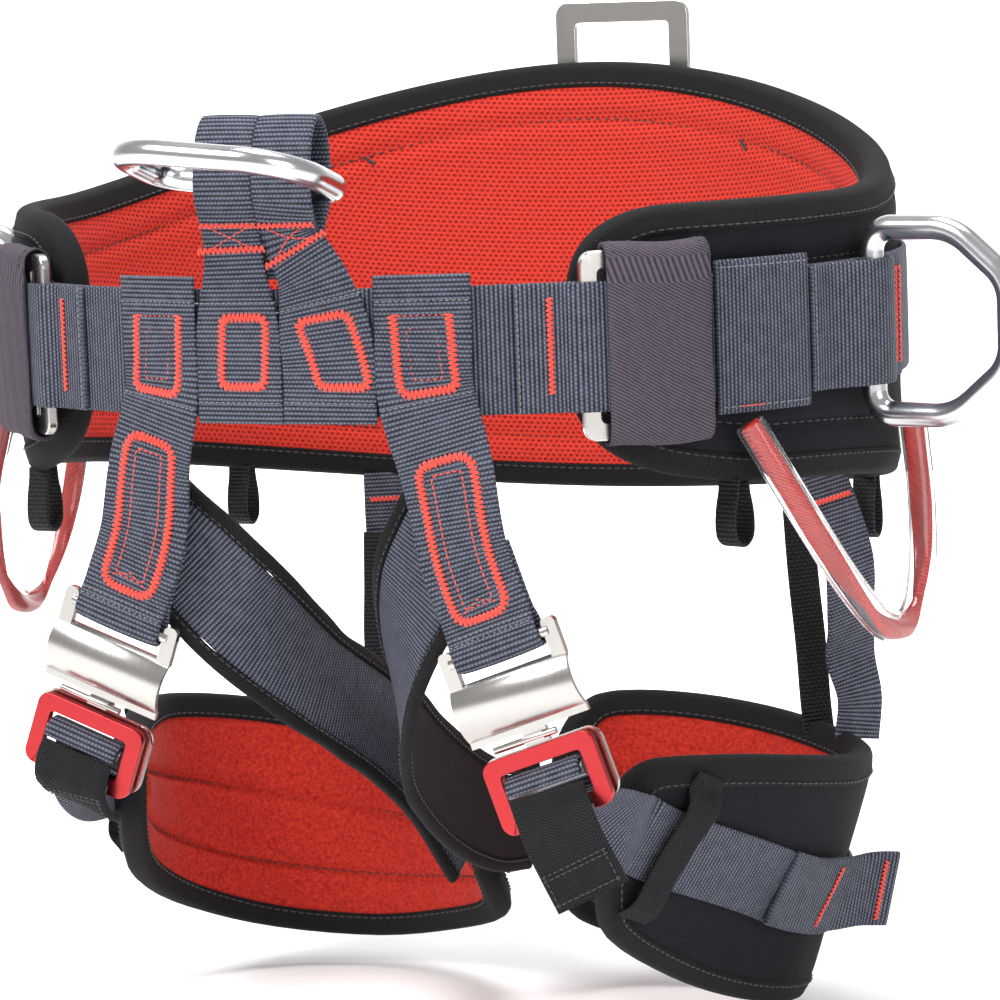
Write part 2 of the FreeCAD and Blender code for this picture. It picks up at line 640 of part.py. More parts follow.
def leg_pad_layer(side, inner, outer, inset):
    stations = []
    for u, low_share, high_share in leg_pad_spans(side, inset):
        stations.append([leg_point(side, u, v, out) for v, out in (
            (low_share, inner), (high_share, inner), (high_share, outer), (low_share, outer))])
    return solid_from_stations(stations)


def leg_pad_spans(side, inset):
    """(station, top share, bottom share) along a leg pad, rounded at its two ends."""
    last = len(LEG_PADS[side]) - 1
    share = inset / 26
    steps = [share + k for k in (0, 0.05, 0.15, 0.35)] + [share + 0.7]
    count = 2 * last - 3
    middle = [share + 0.7 + (last - 2 * share - 1.4) * k / count for k in range(1, count)]
    spans = []
    for u in steps + middle + [last - k for k in reversed(steps)]:
        low, high = leg_point(side, u, 0, 0), leg_point(side, u, 1, 0)
        height = math.dist(low, high)
        near = min(u, last - u) - share
        cut = 0.18 * (1 - smooth(near / 0.7)) ** 2 + inset / height
        spans.append((u, cut, 1 - cut))
    return spans


def leg_pad(side):
    inset = BINDING_WIDTH + 0.3
    rim, inside = [], []
    for edge, amount in ((rim, 0.0), (inside, BINDING_WIDTH)):
        spans = leg_pad_spans(side, amount)
        edge += [(u, top) for u, top, _ in spans]
        edge += [(u, low) for u, _, low in reversed(spans)]
    low, high = -BINDING_PROUD, LEG_PAD_THICK + BINDING_PROUD
    binding = solid_from_stations([
        [leg_point(side, *a, low), leg_point(side, *a, high), leg_point(side, *b, high),
         leg_point(side, *b, low)] for a, b in zip(rim, inside)], closed=True)
    return {
        "leg_pad_lining_" + side: leg_pad_layer(side, 0, SKIN, inset),
        "leg_pad_foam_" + side: leg_pad_layer(side, SKIN + 0.1, LEG_PAD_THICK - SKIN - 0.1, inset),
        "leg_pad_shell_" + side: leg_pad_layer(side, LEG_PAD_THICK - SKIN, LEG_PAD_THICK, inset),
        "leg_pad_binding_" + side: binding,
    }


def leg_web(side):
    """Load web: over the adjuster bar, back round the outside of the pad to its inner end."""
    place = connector_place(side)
    wrap = 3.0 + GAP + WEB_THICK / 2
    fold = []
    for degrees in range(-90, 91, 30):
        t = math.radians(degrees)
        fold.append(at(place, 0, -0.4 + wrap * math.sin(t), SLIDER_Z + wrap * math.cos(t)))
    start = [at(place, 0, -0.4 - wrap, SLIDER_Z - 1.6)]
    leave = [at(place, 0, 4.4, SLIDER_Z - 3), at(place, 0, 8.0, SLIDER_Z - 8.5)]
    on_pad = LEG_PAD_THICK + BINDING_PROUD + GAP + WEB_THICK / 2
    stops = curve(LEG_WEB_ROUTE[side], 3)
    route = [leg_point(side, u, v, on_pad) for u, v in stops]
    down = [unit(sub(leg_point(side, u, 0, 0), leg_point(side, u, 1, 0))) for u, _ in stops]
    approach = curve(start + fold + leave + LEG_WEB_LEAD[side] + route[:1], 2)[:-1]
    bound = 2 * len(start + fold + leave) - 2      # up to here the web lies square in the connector
    turning = [smooth((i - bound) / (len(approach) - bound)) for i in range(len(approach))]
    across = [mix(place[1], down[0], t) for t in turning] + down
    return strap(approach + route, across, LEG_WEB)


def leg_tail(side):
    """Doubled black end of the leg web, hanging from the adjuster bar."""
    place = connector_place(side)
    front = -0.4 - (3.0 + GAP + WEB_THICK / 2)
    points = curve([at(place, 0, front, SLIDER_Z - 3.0)] + LEG_TAIL[side], 3)
    across = [mix(place[1], TAIL_ACROSS[side], k / (len(points) - 1)) for k in range(len(points))]
    return strap(points, across, LEG_WEB, 3.0)


def leg_keeper(side):
    """Slanted fabric band that holds the leg web against the pad."""
    on_pad = LEG_PAD_THICK + BINDING_PROUD + 2 * GAP + 0.6
    over = on_pad + WEB_THICK + 2.2 + GAP
    route = ((1.5, 0.06, on_pad), (1.46, 0.12, on_pad), (1.4, 0.2, over), (1.26, 0.38, over),
             (1.12, 0.56, over), (1.0, 0.74, over), (0.95, 0.84, on_pad))
    line_of = [leg_point(side, u, v, out) for u, v, out in curve(route, 2)]
    ahead = [sub(leg_point(side, u + 0.4, v, 0), leg_point(side, u, v, 0)) for u, v, _ in curve(route, 2)]
    return strap(line_of, ahead, 15, 1.0)


def leg_stop(side):
    """Folded, bar-tacked end of the leg web's outer layer, standing off the pad."""
    lift = LEG_PAD_THICK + BINDING_PROUD + 2 * GAP + 1.5 * WEB_THICK
    points = curve([leg_point(side, u, v, lift + more) for u, v, more in LEG_STOP[side]], 3)
    down = sub(leg_point(side, 4, 0, 0), leg_point(side, 4, 1, 0))
    return strap(points, down, LEG_WEB + 1, 2.6)


def bound_strap(stops, s):
    """Crotch strap: web facing forwards, thin backing behind it and edge tape on both sides."""
    line_of = curve([p for p, _, _ in stops], 4)
    across = curve([mul(a, -s) for _, a, _ in stops], 4)
    halves = [w[0] / 2 for w in curve([(w,) for _, _, w in stops], 4)]
    directions = frames(line_of, across)
    tape, clear = 5.1, 0.4
    between = [(tape + clear - h, h - tape - clear) for h in halves]
    web = ribbon(line_of, directions, between, (-1.0, 1.0))
    backing = ribbon(line_of, directions, between, (-2.5, -1.3))
    tapes = [ribbon(line_of, directions, [(h - tape, h) for h in halves], (-2.6, 1.2)),
             ribbon(line_of, directions, [(-h, tape - h) for h in halves], (-2.6, 1.2))]
    return web, Part.makeCompound([backing] + tapes)


def build():
    made = waist_pad()
    made.update(belt_webs())
    made["ventral_ring"], made["ventral_webs"] = ventral()
    made["rear_ring"], made["rear_ring_web"] = rear_ring()
    bars = []
    for side, s in SIDES:
        made["waist_buckle_" + side], bar = waist_buckle(s)
        bars.append(bar)
        made["side_ring_" + side], made["side_ring_web_" + side] = side_ring(s)
        made["gear_tube_" + side], made["gear_web_" + side] = gear_loop(s)
        made["down_strap_" + side] = down_strap(side)
        made.update(connector(side))
        made.update(leg_pad(side))
        made["leg_web_" + side] = Part.makeCompound([leg_web(side), leg_stop(side)])
        made["leg_web_tail_" + side] = leg_tail(side)
        made["leg_web_keeper_" + side] = leg_keeper(side)
        web, backing = bound_strap(CROTCH_STRAPS[side], s)
        made["crotch_web_" + side] = web
        made["crotch_backing_" + side] = backing
        for name, width, thick in (("rear_web_", 22, WEB_THICK), ("rear_elastic_", 13, 1.4)):
            stops = REAR_STRAPS[name + side]
            made[name + side] = strap(curve([p for p, _ in stops], 3), curve([a for _, a in stops], 3),
                                      width, thick)
    made["waist_buckle_bars"] = Part.makeCompound(bars)
    for place_name, (s, angle, turn_out) in TOOL_LOOPS.items():
        made["tool_loop_" + place_name] = tool_loop(s, angle, turn_out)
    return made


for name, shape in build().items():
    shape.exportStep("parts/" + name + ".step")
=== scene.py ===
"""Looks of the climbing harness: fabric, stitching, hardware, floor, light and camera.

The shapes are worked out in millimetres in the part's own frame (+Z up, the wearer looks
along -Y, +X to the wearer's left) and scaled to metres when each mesh is made.
"""

import json
import math
import random

import bpy
import numpy as np
from mathutils import Matrix, Vector


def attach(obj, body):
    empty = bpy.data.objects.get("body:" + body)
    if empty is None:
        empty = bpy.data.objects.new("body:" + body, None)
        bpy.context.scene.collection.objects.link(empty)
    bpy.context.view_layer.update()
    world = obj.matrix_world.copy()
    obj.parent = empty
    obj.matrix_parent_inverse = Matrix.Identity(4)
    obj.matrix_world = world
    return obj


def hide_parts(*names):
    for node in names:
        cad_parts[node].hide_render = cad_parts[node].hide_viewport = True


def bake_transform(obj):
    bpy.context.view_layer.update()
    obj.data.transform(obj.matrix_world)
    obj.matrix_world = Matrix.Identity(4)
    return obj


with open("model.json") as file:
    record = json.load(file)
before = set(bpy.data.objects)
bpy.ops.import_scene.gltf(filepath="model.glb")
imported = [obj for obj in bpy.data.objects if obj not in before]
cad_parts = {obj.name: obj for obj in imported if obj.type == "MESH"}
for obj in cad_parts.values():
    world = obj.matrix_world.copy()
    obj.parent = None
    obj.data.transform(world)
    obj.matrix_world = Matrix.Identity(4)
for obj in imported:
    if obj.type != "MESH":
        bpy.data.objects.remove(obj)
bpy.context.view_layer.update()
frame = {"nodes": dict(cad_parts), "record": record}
nodes = frame["nodes"]
random.seed(11)

MM = 0.001
SIDES = (("left", 1), ("right", -1))

# ---- the belt's layers, in millimetres, as in the CAD part ----
WAIST_A, WAIST_B = 157.0, 138.0
PAD_THICK, LEG_PAD_THICK = 12.0, 10.0
PAD_END = 36.0
FRONT_TURN = 1.5
SLEEVE_IN, WEB_LAYER, SECOND_LAYER, PLATE_LAYER = 13.4, 15.3, 17.7, 18.45
OVER_PLATE, SLEEVE_OUT = 21.6, 23.6
BELT_WEB = 45.0
BINDING = 10.0           # width of the edge tape
TAPE_PROUD = 0.7         # how far the tape stands off the pad
TAPE_SEAM, SEAM_LIFT = 8.3, 0.8                  # the tape's stitch line: from the rim, off the pad
PAD_INSET = 8.6          # where the lining and shell start, from the rim
SEAM_BELOW_TOP, SEAM_ABOVE_LOW = 23, 21
LINING_CROWN, SHELL_CROWN = 1.2, 0.6
FRONT_STRAP = 34.0       # width of the down straps and of the front panels
RING_ANGLE, RING_OFFSET, RING_BAR = 81.0, 21.2, 9.0
VENTRAL_AT = (-6.0, -152.5, 59.0)
# tool loops: side, belt angle, how far the loop's plane is turned outwards
TOOL_LOOPS = {"front_left": (1, 59.0, -0.3), "front_right": (-1, 59.0, 0.75),
              "rear_left": (1, 124.0, 0.75), "rear_right": (-1, 124.0, -0.75)}
GEAR_LOOP = ((150, -84, -31), (163, -76, -58), (174, -56, -90), (180, -30, -112), (182, -6, -113),
             (181, 10, -92), (178, 18, -66), (175, 20, -43))
CONNECTOR_AT = {"left": (80, -149, -102), "right": (-68, -149, -96)}
CONNECTOR_TILT = 20.0
SLIDER_Z = -48.5
LEG_WEB = 29.0
LEG_CROWN = 1.6
STRAP_PLAY, HALF_WEB = 0.4, 1.0                  # between a strap and what it lies on; half a web's thickness
TAPE_STEP = 0.6                                  # how far the pads' tape stands off them, for what lies on it
FOLD_TURNS = (-90, -60, -30, 0, 30, 60, 90)      # degrees round a bar where a strap folds


# ---- vector helpers ----
def vec(*p):
    return np.array(p, float)


def unit(a):
    a = np.asarray(a, float)
    return a / np.linalg.norm(a, axis=-1, keepdims=True)


def smooth(t):
    t = np.clip(t, 0.0, 1.0)
    return t * t * (3 - 2 * t)


def curve(points, steps):
    """A smooth line through points of any dimension."""
    pts = [np.asarray(p, float) for p in points]
    line = [2 * pts[0] - pts[1]] + pts + [2 * pts[-1] - pts[-2]]
    out = []
    for i in range(1, len(line) - 2):
        a, b, c, d = line[i - 1:i + 3]
        for k in range(steps):
            t = k / steps
            out.append(0.5 * (2 * b + (c - a) * t + (2 * a - 5 * b + 4 * c - d) * t * t
                              + (3 * b - a - 3 * c + d) * t ** 3))
    out.append(pts[-1])
    return np.array(out)


def lengths(points):
    steps = np.linalg.norm(np.diff(points, axis=0), axis=1)
    return np.concatenate([[0.0], np.cumsum(steps)])


def resampled(points, pitch, *others):
    """Points at an even pitch along a line, and the other per-point values at the same places."""
    points = np.asarray(points, float)
    s = lengths(points)
    count = max(2, int(round(s[-1] / pitch)) + 1)
    at = np.linspace(0, s[-1], count)

    def pick(values):
        values = np.asarray(values, float)
        if values.ndim == 1:
            return np.interp(at, s, values)
        return np.stack([np.interp(at, s, values[:, k]) for k in range(values.shape[1])], 1)

    return [pick(points)] + [pick(v) for v in others]


# ---- materials ----
class Shader:
    """Short names for the nodes of one procedural material."""

    def __init__(self, name):
        self.material = bpy.data.materials.new(name)
        self.material.use_nodes = True
        self.tree = self.material.node_tree
        self.surface = self.tree.nodes["Principled BSDF"]

    def node(self, kind, inputs=(), **settings):
        made = self.tree.nodes.new(kind)
        for key, value in settings.items():
            setattr(made, key, value)
        for key, value in dict(inputs).items():
            if isinstance(value, bpy.types.NodeSocket):
                self.tree.links.new(value, made.inputs[key])
            else:
                made.inputs[key].default_value = value
        return made

    def math(self, operation, a, b=0.0):
        return self.node("ShaderNodeMath", {0: a, 1: b}, operation=operation).outputs[0]

    def cloth(self):
        """Distances along and across the cloth, in millimetres."""
        split = self.node("ShaderNodeSeparateXYZ", {0: self.node("ShaderNodeUVMap").outputs["UV"]})
        return split.outputs[0], split.outputs[1]

    def half(self, x):
        return self.math("ADD", self.math("MULTIPLY", x, 0.5), 0.5)

    def noise(self, scale, detail=2.0, coords=None):
        where = coords or self.node("ShaderNodeTexCoord").outputs["Object"]
        inputs = {"Vector": where, "Scale": scale, "Detail": detail}
        return self.node("ShaderNodeTexNoise", inputs).outputs["Fac"]

    def ramp(self, value, low, high):
        """value spread so that low to high becomes 0 to 1."""
        inputs = {"Value": value, "From Min": low, "From Max": high}
        return self.node("ShaderNodeMapRange", inputs).outputs[0]

    def colour(self, share, low, high, middle=None):
        ramp = self.node("ShaderNodeValToRGB", {"Fac": share})
        ramp.color_ramp.elements[0].color = (*low, 1)
        ramp.color_ramp.elements[1].color = (*high, 1)
        if middle:
            ramp.color_ramp.elements.new(middle[0]).color = (*middle[1], 1)
        self.tree.links.new(ramp.outputs["Color"], self.surface.inputs["Base Color"])

    def bump(self, height, depth_mm):
        inputs = {"Height": height, "Strength": 1.0, "Distance": depth_mm * MM}
        made = self.node("ShaderNodeBump", inputs)
        self.tree.links.new(made.outputs["Normal"], self.surface.inputs["Normal"])

    def set(self, **values):
        for key, value in values.items():
            self.surface.inputs[key.replace("_", " ")].default_value = value
        return self


def sine(shader, x, pitch, shift=0.0):
    turns = shader.math("ADD", shader.math("MULTIPLY", x, 2 * math.pi / pitch), shift)
    return shader.half(shader.math("SINE", turns))


def fabric(shader, rough=0.85, sheen=0.04, shine=0.14):
    return shader.set(Roughness=rough, Sheen_Weight=sheen, Sheen_Roughness=0.5,
                      Specular_IOR_Level=shine)


def webbing_material(name, low, high, rib=1.6, cross=1.5):
    """Ribbed webbing: ribs across its length, split into staggered yarns."""
    m = Shader(name)
    u, v = m.cloth()
    ribs = sine(m, u, rib)
    row = m.math("FLOOR", m.math("DIVIDE", u, rib))
    yarns = sine(m, v, cross, m.math("MULTIPLY", row, math.pi))
    split = m.math("MULTIPLY", ribs, yarns)
    height = m.math("ADD", m.math("MULTIPLY", ribs, 0.4), m.math("MULTIPLY", split, 0.6))
    uneven = m.math("MULTIPLY", m.math("SUBTRACT", m.noise(260), 0.5), 0.35)
    m.colour(m.math("ADD", height, uneven), low, high)
    m.bump(height, 0.55)
    return fabric(m, 0.6, 0.03, 0.2).material


def twill_material(name, low, high, pitch=1.5, slant=0.8, depth=0.25, fold=None, rough=0.8):
    """Diagonal twill; with a fold width the diagonals turn back as in herringbone."""
    m = Shader(name)
    u, v = m.cloth()
    across = m.math("PINGPONG", v, fold) if fold else v
    height = sine(m, m.math("ADD", u, m.math("MULTIPLY", across, slant)), pitch)
    mixed = m.math("ADD", m.math("MULTIPLY", height, 0.75), m.math("MULTIPLY", m.noise(420), 0.3))
    m.colour(mixed, low, high)
    m.bump(height, depth)
    return fabric(m, rough, 0.02).material


def mesh_knit_material(name):
    """Spacer mesh: staggered rows of small dark cells in a bright knit."""
    m = Shader(name)
    u, v = m.cloth()
    tall, wide = 1.9, 2.6
    y = m.math("DIVIDE", v, tall)
    row = m.math("FLOOR", y)
    x = m.math("ADD", m.math("DIVIDE", u, wide), m.math("MULTIPLY", row, 0.5))
    wander = m.math("MULTIPLY", m.math("SUBTRACT", m.noise(500, 1.0), 0.5), 0.35)
    dx = m.math("ADD", m.math("SUBTRACT", m.math("FRACT", x), 0.5), wander)
    dy = m.math("SUBTRACT", m.math("FRACT", y), 0.5)
    apart = m.math("SQRT", m.math("ADD", m.math("MULTIPLY", dx, dx), m.math("MULTIPLY", dy, dy)))
    height = m.ramp(apart, 0.1, 0.42)
    shade = m.math("ADD", height, m.math("MULTIPLY", m.math("SUBTRACT", m.noise(900), 0.5), 0.3))
    m.colour(shade, (0.22, 0.010, 0.007), (0.65, 0.046, 0.030), (0.45, (0.50, 0.031, 0.020)))
    m.bump(height, 0.5)
    return fabric(m, 0.85, 0.05).material


def fleece_material(name, low, high, grain=700.0, depth=0.35, sheen=0.4):
    m = Shader(name)
    height = m.noise(grain, 3.0)
    m.colour(m.ramp(height, 0.3, 0.7), low, high)
    m.bump(height, depth)
    return fabric(m, 0.9, sheen).material


def metal_material(name, colour, rough, depth=0.02, grain=(60, 60, 900)):
    m = Shader(name)
    place = m.node("ShaderNodeMapping", {"Vector": m.node("ShaderNodeTexCoord").outputs["Object"],
                                         "Scale": grain})
    height = m.noise(1.0, 4.0, place.outputs[0])
    m.bump(height, depth)
    spread = m.math("MULTIPLY_ADD", height, 0.12)
    spread.node.inputs[2].default_value = rough - 0.06
    m.tree.links.new(spread, m.surface.inputs["Roughness"])
    return m.set(Metallic=1.0, Base_Color=(*colour, 1)).material


def thread_material(name, colour, rough=0.5):
    m = Shader(name)
    m.bump(m.noise(2500), 0.05)
    return m.set(Base_Color=(*colour, 1), Roughness=rough, Sheen_Weight=0.3).material


def clear_material(name):
    m = Shader(name)
    m.bump(m.noise(90), 0.03)
    return m.set(Base_Color=(0.97, 0.97, 0.97, 1), Roughness=0.04, Transmission_Weight=0.97, IOR=1.12,
                 Coat_Weight=0.5).material


SLATE_LOW, SLATE_HIGH = (0.007, 0.009, 0.018), (0.185, 0.197, 0.26)
MATERIAL = {name: make(name, *settings) for name, make, *settings in (
    ("mesh_lining", mesh_knit_material),
    ("fleece_lining", fleece_material, (0.31, 0.014, 0.009), (0.57, 0.039, 0.023), 700.0, 0.35, 0.04),
    ("pad_foam", fleece_material, (0.05, 0.05, 0.055), (0.09, 0.09, 0.1), 300.0, 0.1),
    ("outer_fabric", fleece_material, (0.0055, 0.0055, 0.008), (0.014, 0.014, 0.018), 1500.0, 0.06, 0.02),
    ("edge_tape", twill_material, (0.003, 0.003, 0.0035), (0.017, 0.017, 0.018), 1.15, 0.9, 0.18),
    ("webbing", webbing_material, SLATE_LOW, SLATE_HIGH),
    ("rear_loop_web", webbing_material, SLATE_LOW, SLATE_HIGH),
    ("black_web", twill_material, (0.003, 0.003, 0.0035), (0.024, 0.024, 0.026), 1.3, 0.9, 0.25, 6.0),
    ("elastic", webbing_material, (0.004, 0.004, 0.005), (0.03, 0.03, 0.032), 1.6, 2.2),
    ("sleeve_twill", twill_material, (0.016, 0.013, 0.018), (0.12, 0.10, 0.125), 1.25, 0.55, 0.16),
    ("red_web", twill_material, (0.36, 0.006, 0.005), (0.78, 0.04, 0.03), 1.6, 1.2, 0.35),
    ("clear_tube", clear_material),
    ("polished_alloy", metal_material, (0.70, 0.71, 0.73), 0.2, 0.01, (40, 40, 40)),
    ("stainless_steel", metal_material, (0.56, 0.54, 0.515), 0.25, 0.015, (900, 60, 60)),
    ("red_alloy", metal_material, (0.56, 0.05, 0.055), 0.34, 0.008, (90, 90, 90)),
    ("dark_steel", metal_material, (0.30, 0.30, 0.32), 0.35),
    ("red_thread", thread_material, (0.80, 0.055, 0.03)),
    ("dark_red_thread", thread_material, (0.16, 0.008, 0.006), 0.7),
    ("black_thread", thread_material, (0.02, 0.02, 0.022), 0.6),
    ("grey_thread", thread_material, (0.16, 0.17, 0.19), 0.6),
)}


# ---- meshes ----
def joined(name, parts, material, body, replaces=()):
    """One smooth-shaded object from (points, faces, uvs) parts, in the given material.

    Points are in millimetres, and uvs is one pair per face corner, in millimetres of cloth.
    """
    points, faces, uvs = [], [], []
    for part_points, part_faces, part_uvs in parts:
        base = len(points)
        points += [tuple(p) for p in part_points]
        faces += [tuple(base + i for i in f) for f in part_faces]
        uvs += list(part_uvs)
    mesh = bpy.data.meshes.new(name)
    mesh.from_pydata((np.asarray(points, float) * MM).tolist(), [], faces)
    layer = mesh.uv_layers.new(name="UVMap")
    layer.data.foreach_set("uv", np.asarray(uvs, np.float32).ravel())
    mesh.polygons.foreach_set("use_smooth", [True] * len(mesh.polygons))
    mesh.materials.append(MATERIAL[material])
    mesh.validate()
    made = bpy.data.objects.new(name, mesh)
    bpy.context.scene.collection.objects.link(made)
    if replaces:
        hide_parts(*replaces)
    if body:
        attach(made, body)
    return made


class Strip:
    """A strap's centre line with its frames, in millimetres: s runs along it and x across it."""

    def __init__(self, points, across, width, thick=2.0, pitch=1.5):
        points = np.asarray(points, float)
        across = np.asarray(across, float)
        if across.ndim == 1:
            across = np.tile(across, (len(points), 1))
        width = np.full(len(points), width) if np.isscalar(width) else np.asarray(width, float)
        self.points, across, self.width = resampled(points, pitch, across, width)
        self.thick = thick
        along = unit(np.gradient(self.points, axis=0))
        across = across - along * np.sum(across * along, 1, keepdims=True)
        self.along, self.across = along, unit(across)
        self.out = np.cross(self.along, self.across)
        self.s = lengths(self.points)
        self.total = self.s[-1]

    def frame(self, s):
        pick = [np.stack([np.interp(s, self.s, a[:, k]) for k in range(3)], -1)
                for a in (self.points, self.across, self.out)]
        return pick[0], unit(pick[1]), unit(pick[2])

    def piece(self, sag=0.0, ripple=0.0, seed=0):
        """Rounded flat sections along the strip; sag bows the middle outwards."""
        section, v = flat_section(self.thick)
        rings = []
        waves = np.random.default_rng(seed)
        phase = waves.uniform(0, 6.28, 4)
        for i, (point, across, out) in enumerate(zip(self.points, self.across, self.out)):
            half = self.width[i] / 2
            x = section[:, 0] * half
            y = section[:, 1] + sag * (1 - section[:, 0] ** 2)
            y = y + ripple * (np.sin(self.s[i] / 19 + phase[0]) * np.sin(x / 11 + phase[1])
                              + 0.5 * np.sin(self.s[i] / 8.3 + phase[2] + x / 15))
            rings.append(point + np.outer(x, across) + np.outer(y, out))
        return surface_piece(np.array(rings), self.s, np.outer(self.width / 2, v))


def flat_section(thick):
    """A webbing section as (share of the half width, height) points, with soft selvedges."""
    t = thick / 2
    top = [(x * 0.965, t * (0.9 if abs(x) > 0.99 else 1.0)) for x in np.linspace(-1, 1, 11)]
    right = [(1.0, t * 0.45), (1.0, -t * 0.45)]
    low = [(x, -y) for x, y in reversed(top)]
    left = [(-1.0, -t * 0.45), (-1.0, t * 0.45)]
    section = np.array(top + right + low + left)
    return section, np.append(section[:, 0], section[0, 0])


def surface_piece(rings, u, v, closed=False):
    """(points, faces, uvs) of a closed surface through rings."""
    count, size = rings.shape[:2]
    faces, uvs = [], []
    for i in range(count if closed else count - 1):
        k = (i + 1) % count
        far = u[k] if k else u[-1] + (u[1] - u[0])
        for j in range(size):
            n = (j + 1) % size
            faces.append((i * size + j, i * size + n, k * size + n, k * size + j))
            uvs += [(u[i], v[i][j]), (u[i], v[i][j + 1]), (far, v[k][j + 1]), (far, v[k][j])]
    if not closed:
        for i, order in ((0, range(size - 1, -1, -1)), (count - 1, range(size))):
            faces.append(tuple(i * size + j for j in order))
            uvs += [(u[i], v[i][j]) for j in order]
    points = rings.reshape(-1, 3)
    a = points[[f[0] for f in faces]]
    b = points[[f[1] for f in faces]]
    c = points[[f[2] for f in faces]]
    middle = points.mean(0)
    if np.sum(np.einsum("ij,ij->i", np.cross(b - a, c - a), a - middle)) < 0:
        faces = [f[::-1] for f in faces]
        turned = []
        start = 0
        for f in faces:
            turned += uvs[start:start + len(f)][::-1]
            start += len(f)
        uvs = turned
    return points, faces, uvs


# ---- threads ----
def thread_piece(lines, radius, sides=5):
    """Threads as thin closed tubes that taper at both ends; a line comes with its outward direction."""
    points, faces, uvs = [], [], []
    turns = [2 * math.pi * k / sides for k in range(sides)]
    for line, out in lines:
        base = len(points)
        along = unit(np.gradient(line, axis=0))
        side = unit(np.cross(along, out))
        up = np.cross(side, along)
        count = len(line)
        for i in range(count):
            r = radius * (0.45 if i in (0, count - 1) else 1.0)
            for t in turns:
                points.append(line[i] + side[i] * r * math.cos(t) + up[i] * r * math.sin(t))
        for i in range(count - 1):
            for j in range(sides):
                n = (j + 1) % sides
                a, b = base + i * sides, base + (i + 1) * sides
                faces.append((a + j, a + n, b + n, b + j))
        faces.append(tuple(base + j for j in reversed(range(sides))))
        faces.append(tuple(base + (count - 1) * sides + j for j in range(sides)))
    uvs = [(0.0, 0.0)] * sum(len(f) for f in faces)
    return points, faces, uvs


def along_path(path, outs, pitch):
    """Evenly spaced places on a path with its outward and forward directions."""
    where, out = resampled(path, pitch, outs)
    return where, unit(out), unit(np.gradient(where, axis=0))


def running_lines(path, outs, pitch=3.2, length=2.3, rise=0.25):
    """Running stitches: short threads end to end along a path."""
    where, out, forward = along_path(path, outs, pitch)
    lines = []
    for p, n, f in zip(where, out, forward):
        t = np.linspace(-0.5, 0.5, 4)
        lines.append((p + np.outer(t * length, f) + np.outer(rise * (1 - (2 * t) ** 2), n), n))
    return lines


def satin_lines(path, outs, width=3.5, pitch=0.85, rise=0.45):
    """Satin zigzag: close threads across a path, each leaning back to the last."""
    where, out, forward = along_path(path, outs, pitch)
    lines = []
    for i, (p, n, f) in enumerate(zip(where, out, forward)):
        across = unit(np.cross(n, f))
        lean = pitch * 0.45 * (1 if i % 2 else -1)
        wide = width * random.uniform(0.88, 1.1)
        t = np.linspace(-0.5, 0.5, 5)
        lines.append((p + np.outer(t * wide, across) + np.outer(2 * t * lean, f)
                      + np.outer(rise * (1 - (2 * t) ** 2), n), n))
    return lines


def drawn(strip, corners, face=1, closed=False, steps=8, h=0.15):
    """A path drawn on a strip through (s, x) points, on its outer or inner face."""
    line = list(corners) + ([corners[0]] if closed else [])
    fine = []
    for (s0, x0), (s1, x1) in zip(line, line[1:]):
        for k in range(steps):
            fine.append((s0 + (s1 - s0) * k / steps, x0 + (x1 - x0) * k / steps))
    fine.append(line[-1])
    s = np.array([p[0] for p in fine])
    x = np.array([p[1] for p in fine])
    point, across, out = strip.frame(s)
    return point + across * x[:, None] + out * (face * (strip.thick / 2 + h)), out * face


def sew(strip, corners, pitch, length, rise=0.25, face=1):
    """Running stitches on a strip through (s, x) points."""
    return running_lines(*drawn(strip, corners, face), pitch, length, rise)


def bar_tack(strip, s0, x0, s1, x1, width=2.4, face=1, pitch=0.85):
    """Satin stitches on a strip from one (s, x) point to another."""
    return satin_lines(*drawn(strip, [(s0, x0), (s1, x1)], face), width, pitch)


def rounded(corners, radius, closed=True):
    """Corners of a flat outline with rounded turns."""
    out = []
    count = len(corners)
    for i, corner in enumerate(corners):
        corner = vec(*corner)
        if not closed and i in (0, count - 1):
            out.append(tuple(corner))
            continue
        before, after = vec(*corners[i - 1]), vec(*corners[(i + 1) % count])
        a = corner + unit(before - corner) * radius
        b = corner + unit(after - corner) * radius
        for t in (0, 0.25, 0.5, 0.75, 1):
            out.append(tuple((1 - t) ** 2 * a + 2 * t * (1 - t) * corner + t * t * b))
    return out


# ---- the waist belt ----
def belt(angle, out, z):
    t = np.radians(angle)
    return np.stack([(WAIST_A + out) * np.sin(t), -(WAIST_B + out) * np.cos(t), z + 0 * t], -1)


def outward(angle):
    t = np.radians(angle)
    return unit(np.stack([np.sin(t) / WAIST_A, -np.cos(t) / WAIST_B, 0 * t], -1))


def turned(angle):
    return np.cross((0, 0, 1), outward(angle))


def pad_edges(angle, inset):
    from_front = 180 - np.abs(180 - np.mod(angle, 360))
    top = 47 + 43 * smooth((from_front - 84) / 96) - inset
    low = -44 - 10 * smooth((from_front - 36) / 30) - 30 * smooth((from_front - 60) / 120) + inset
    run = np.clip((from_front - PAD_END) / 15, 0, 1)
    share = 0.3 + 0.7 * (1 - (1 - run) ** 2.4) ** (1 / 2.4)
    return 3 + (low - 3) * share, 3 + (top - 3) * share


def girth(angle):
    """Millimetres round the belt per degree."""
    t = np.radians(angle)
    return np.hypot((WAIST_A + 6) * np.cos(t), (WAIST_B + 6) * np.sin(t)) * math.pi / 180


def belt_strip(stops, width, thick=2.0, z=0.0):
    line = curve(stops, 24)
    return Strip(belt(line[:, 0], line[:, 1], z), (0, 0, 1), width, thick)


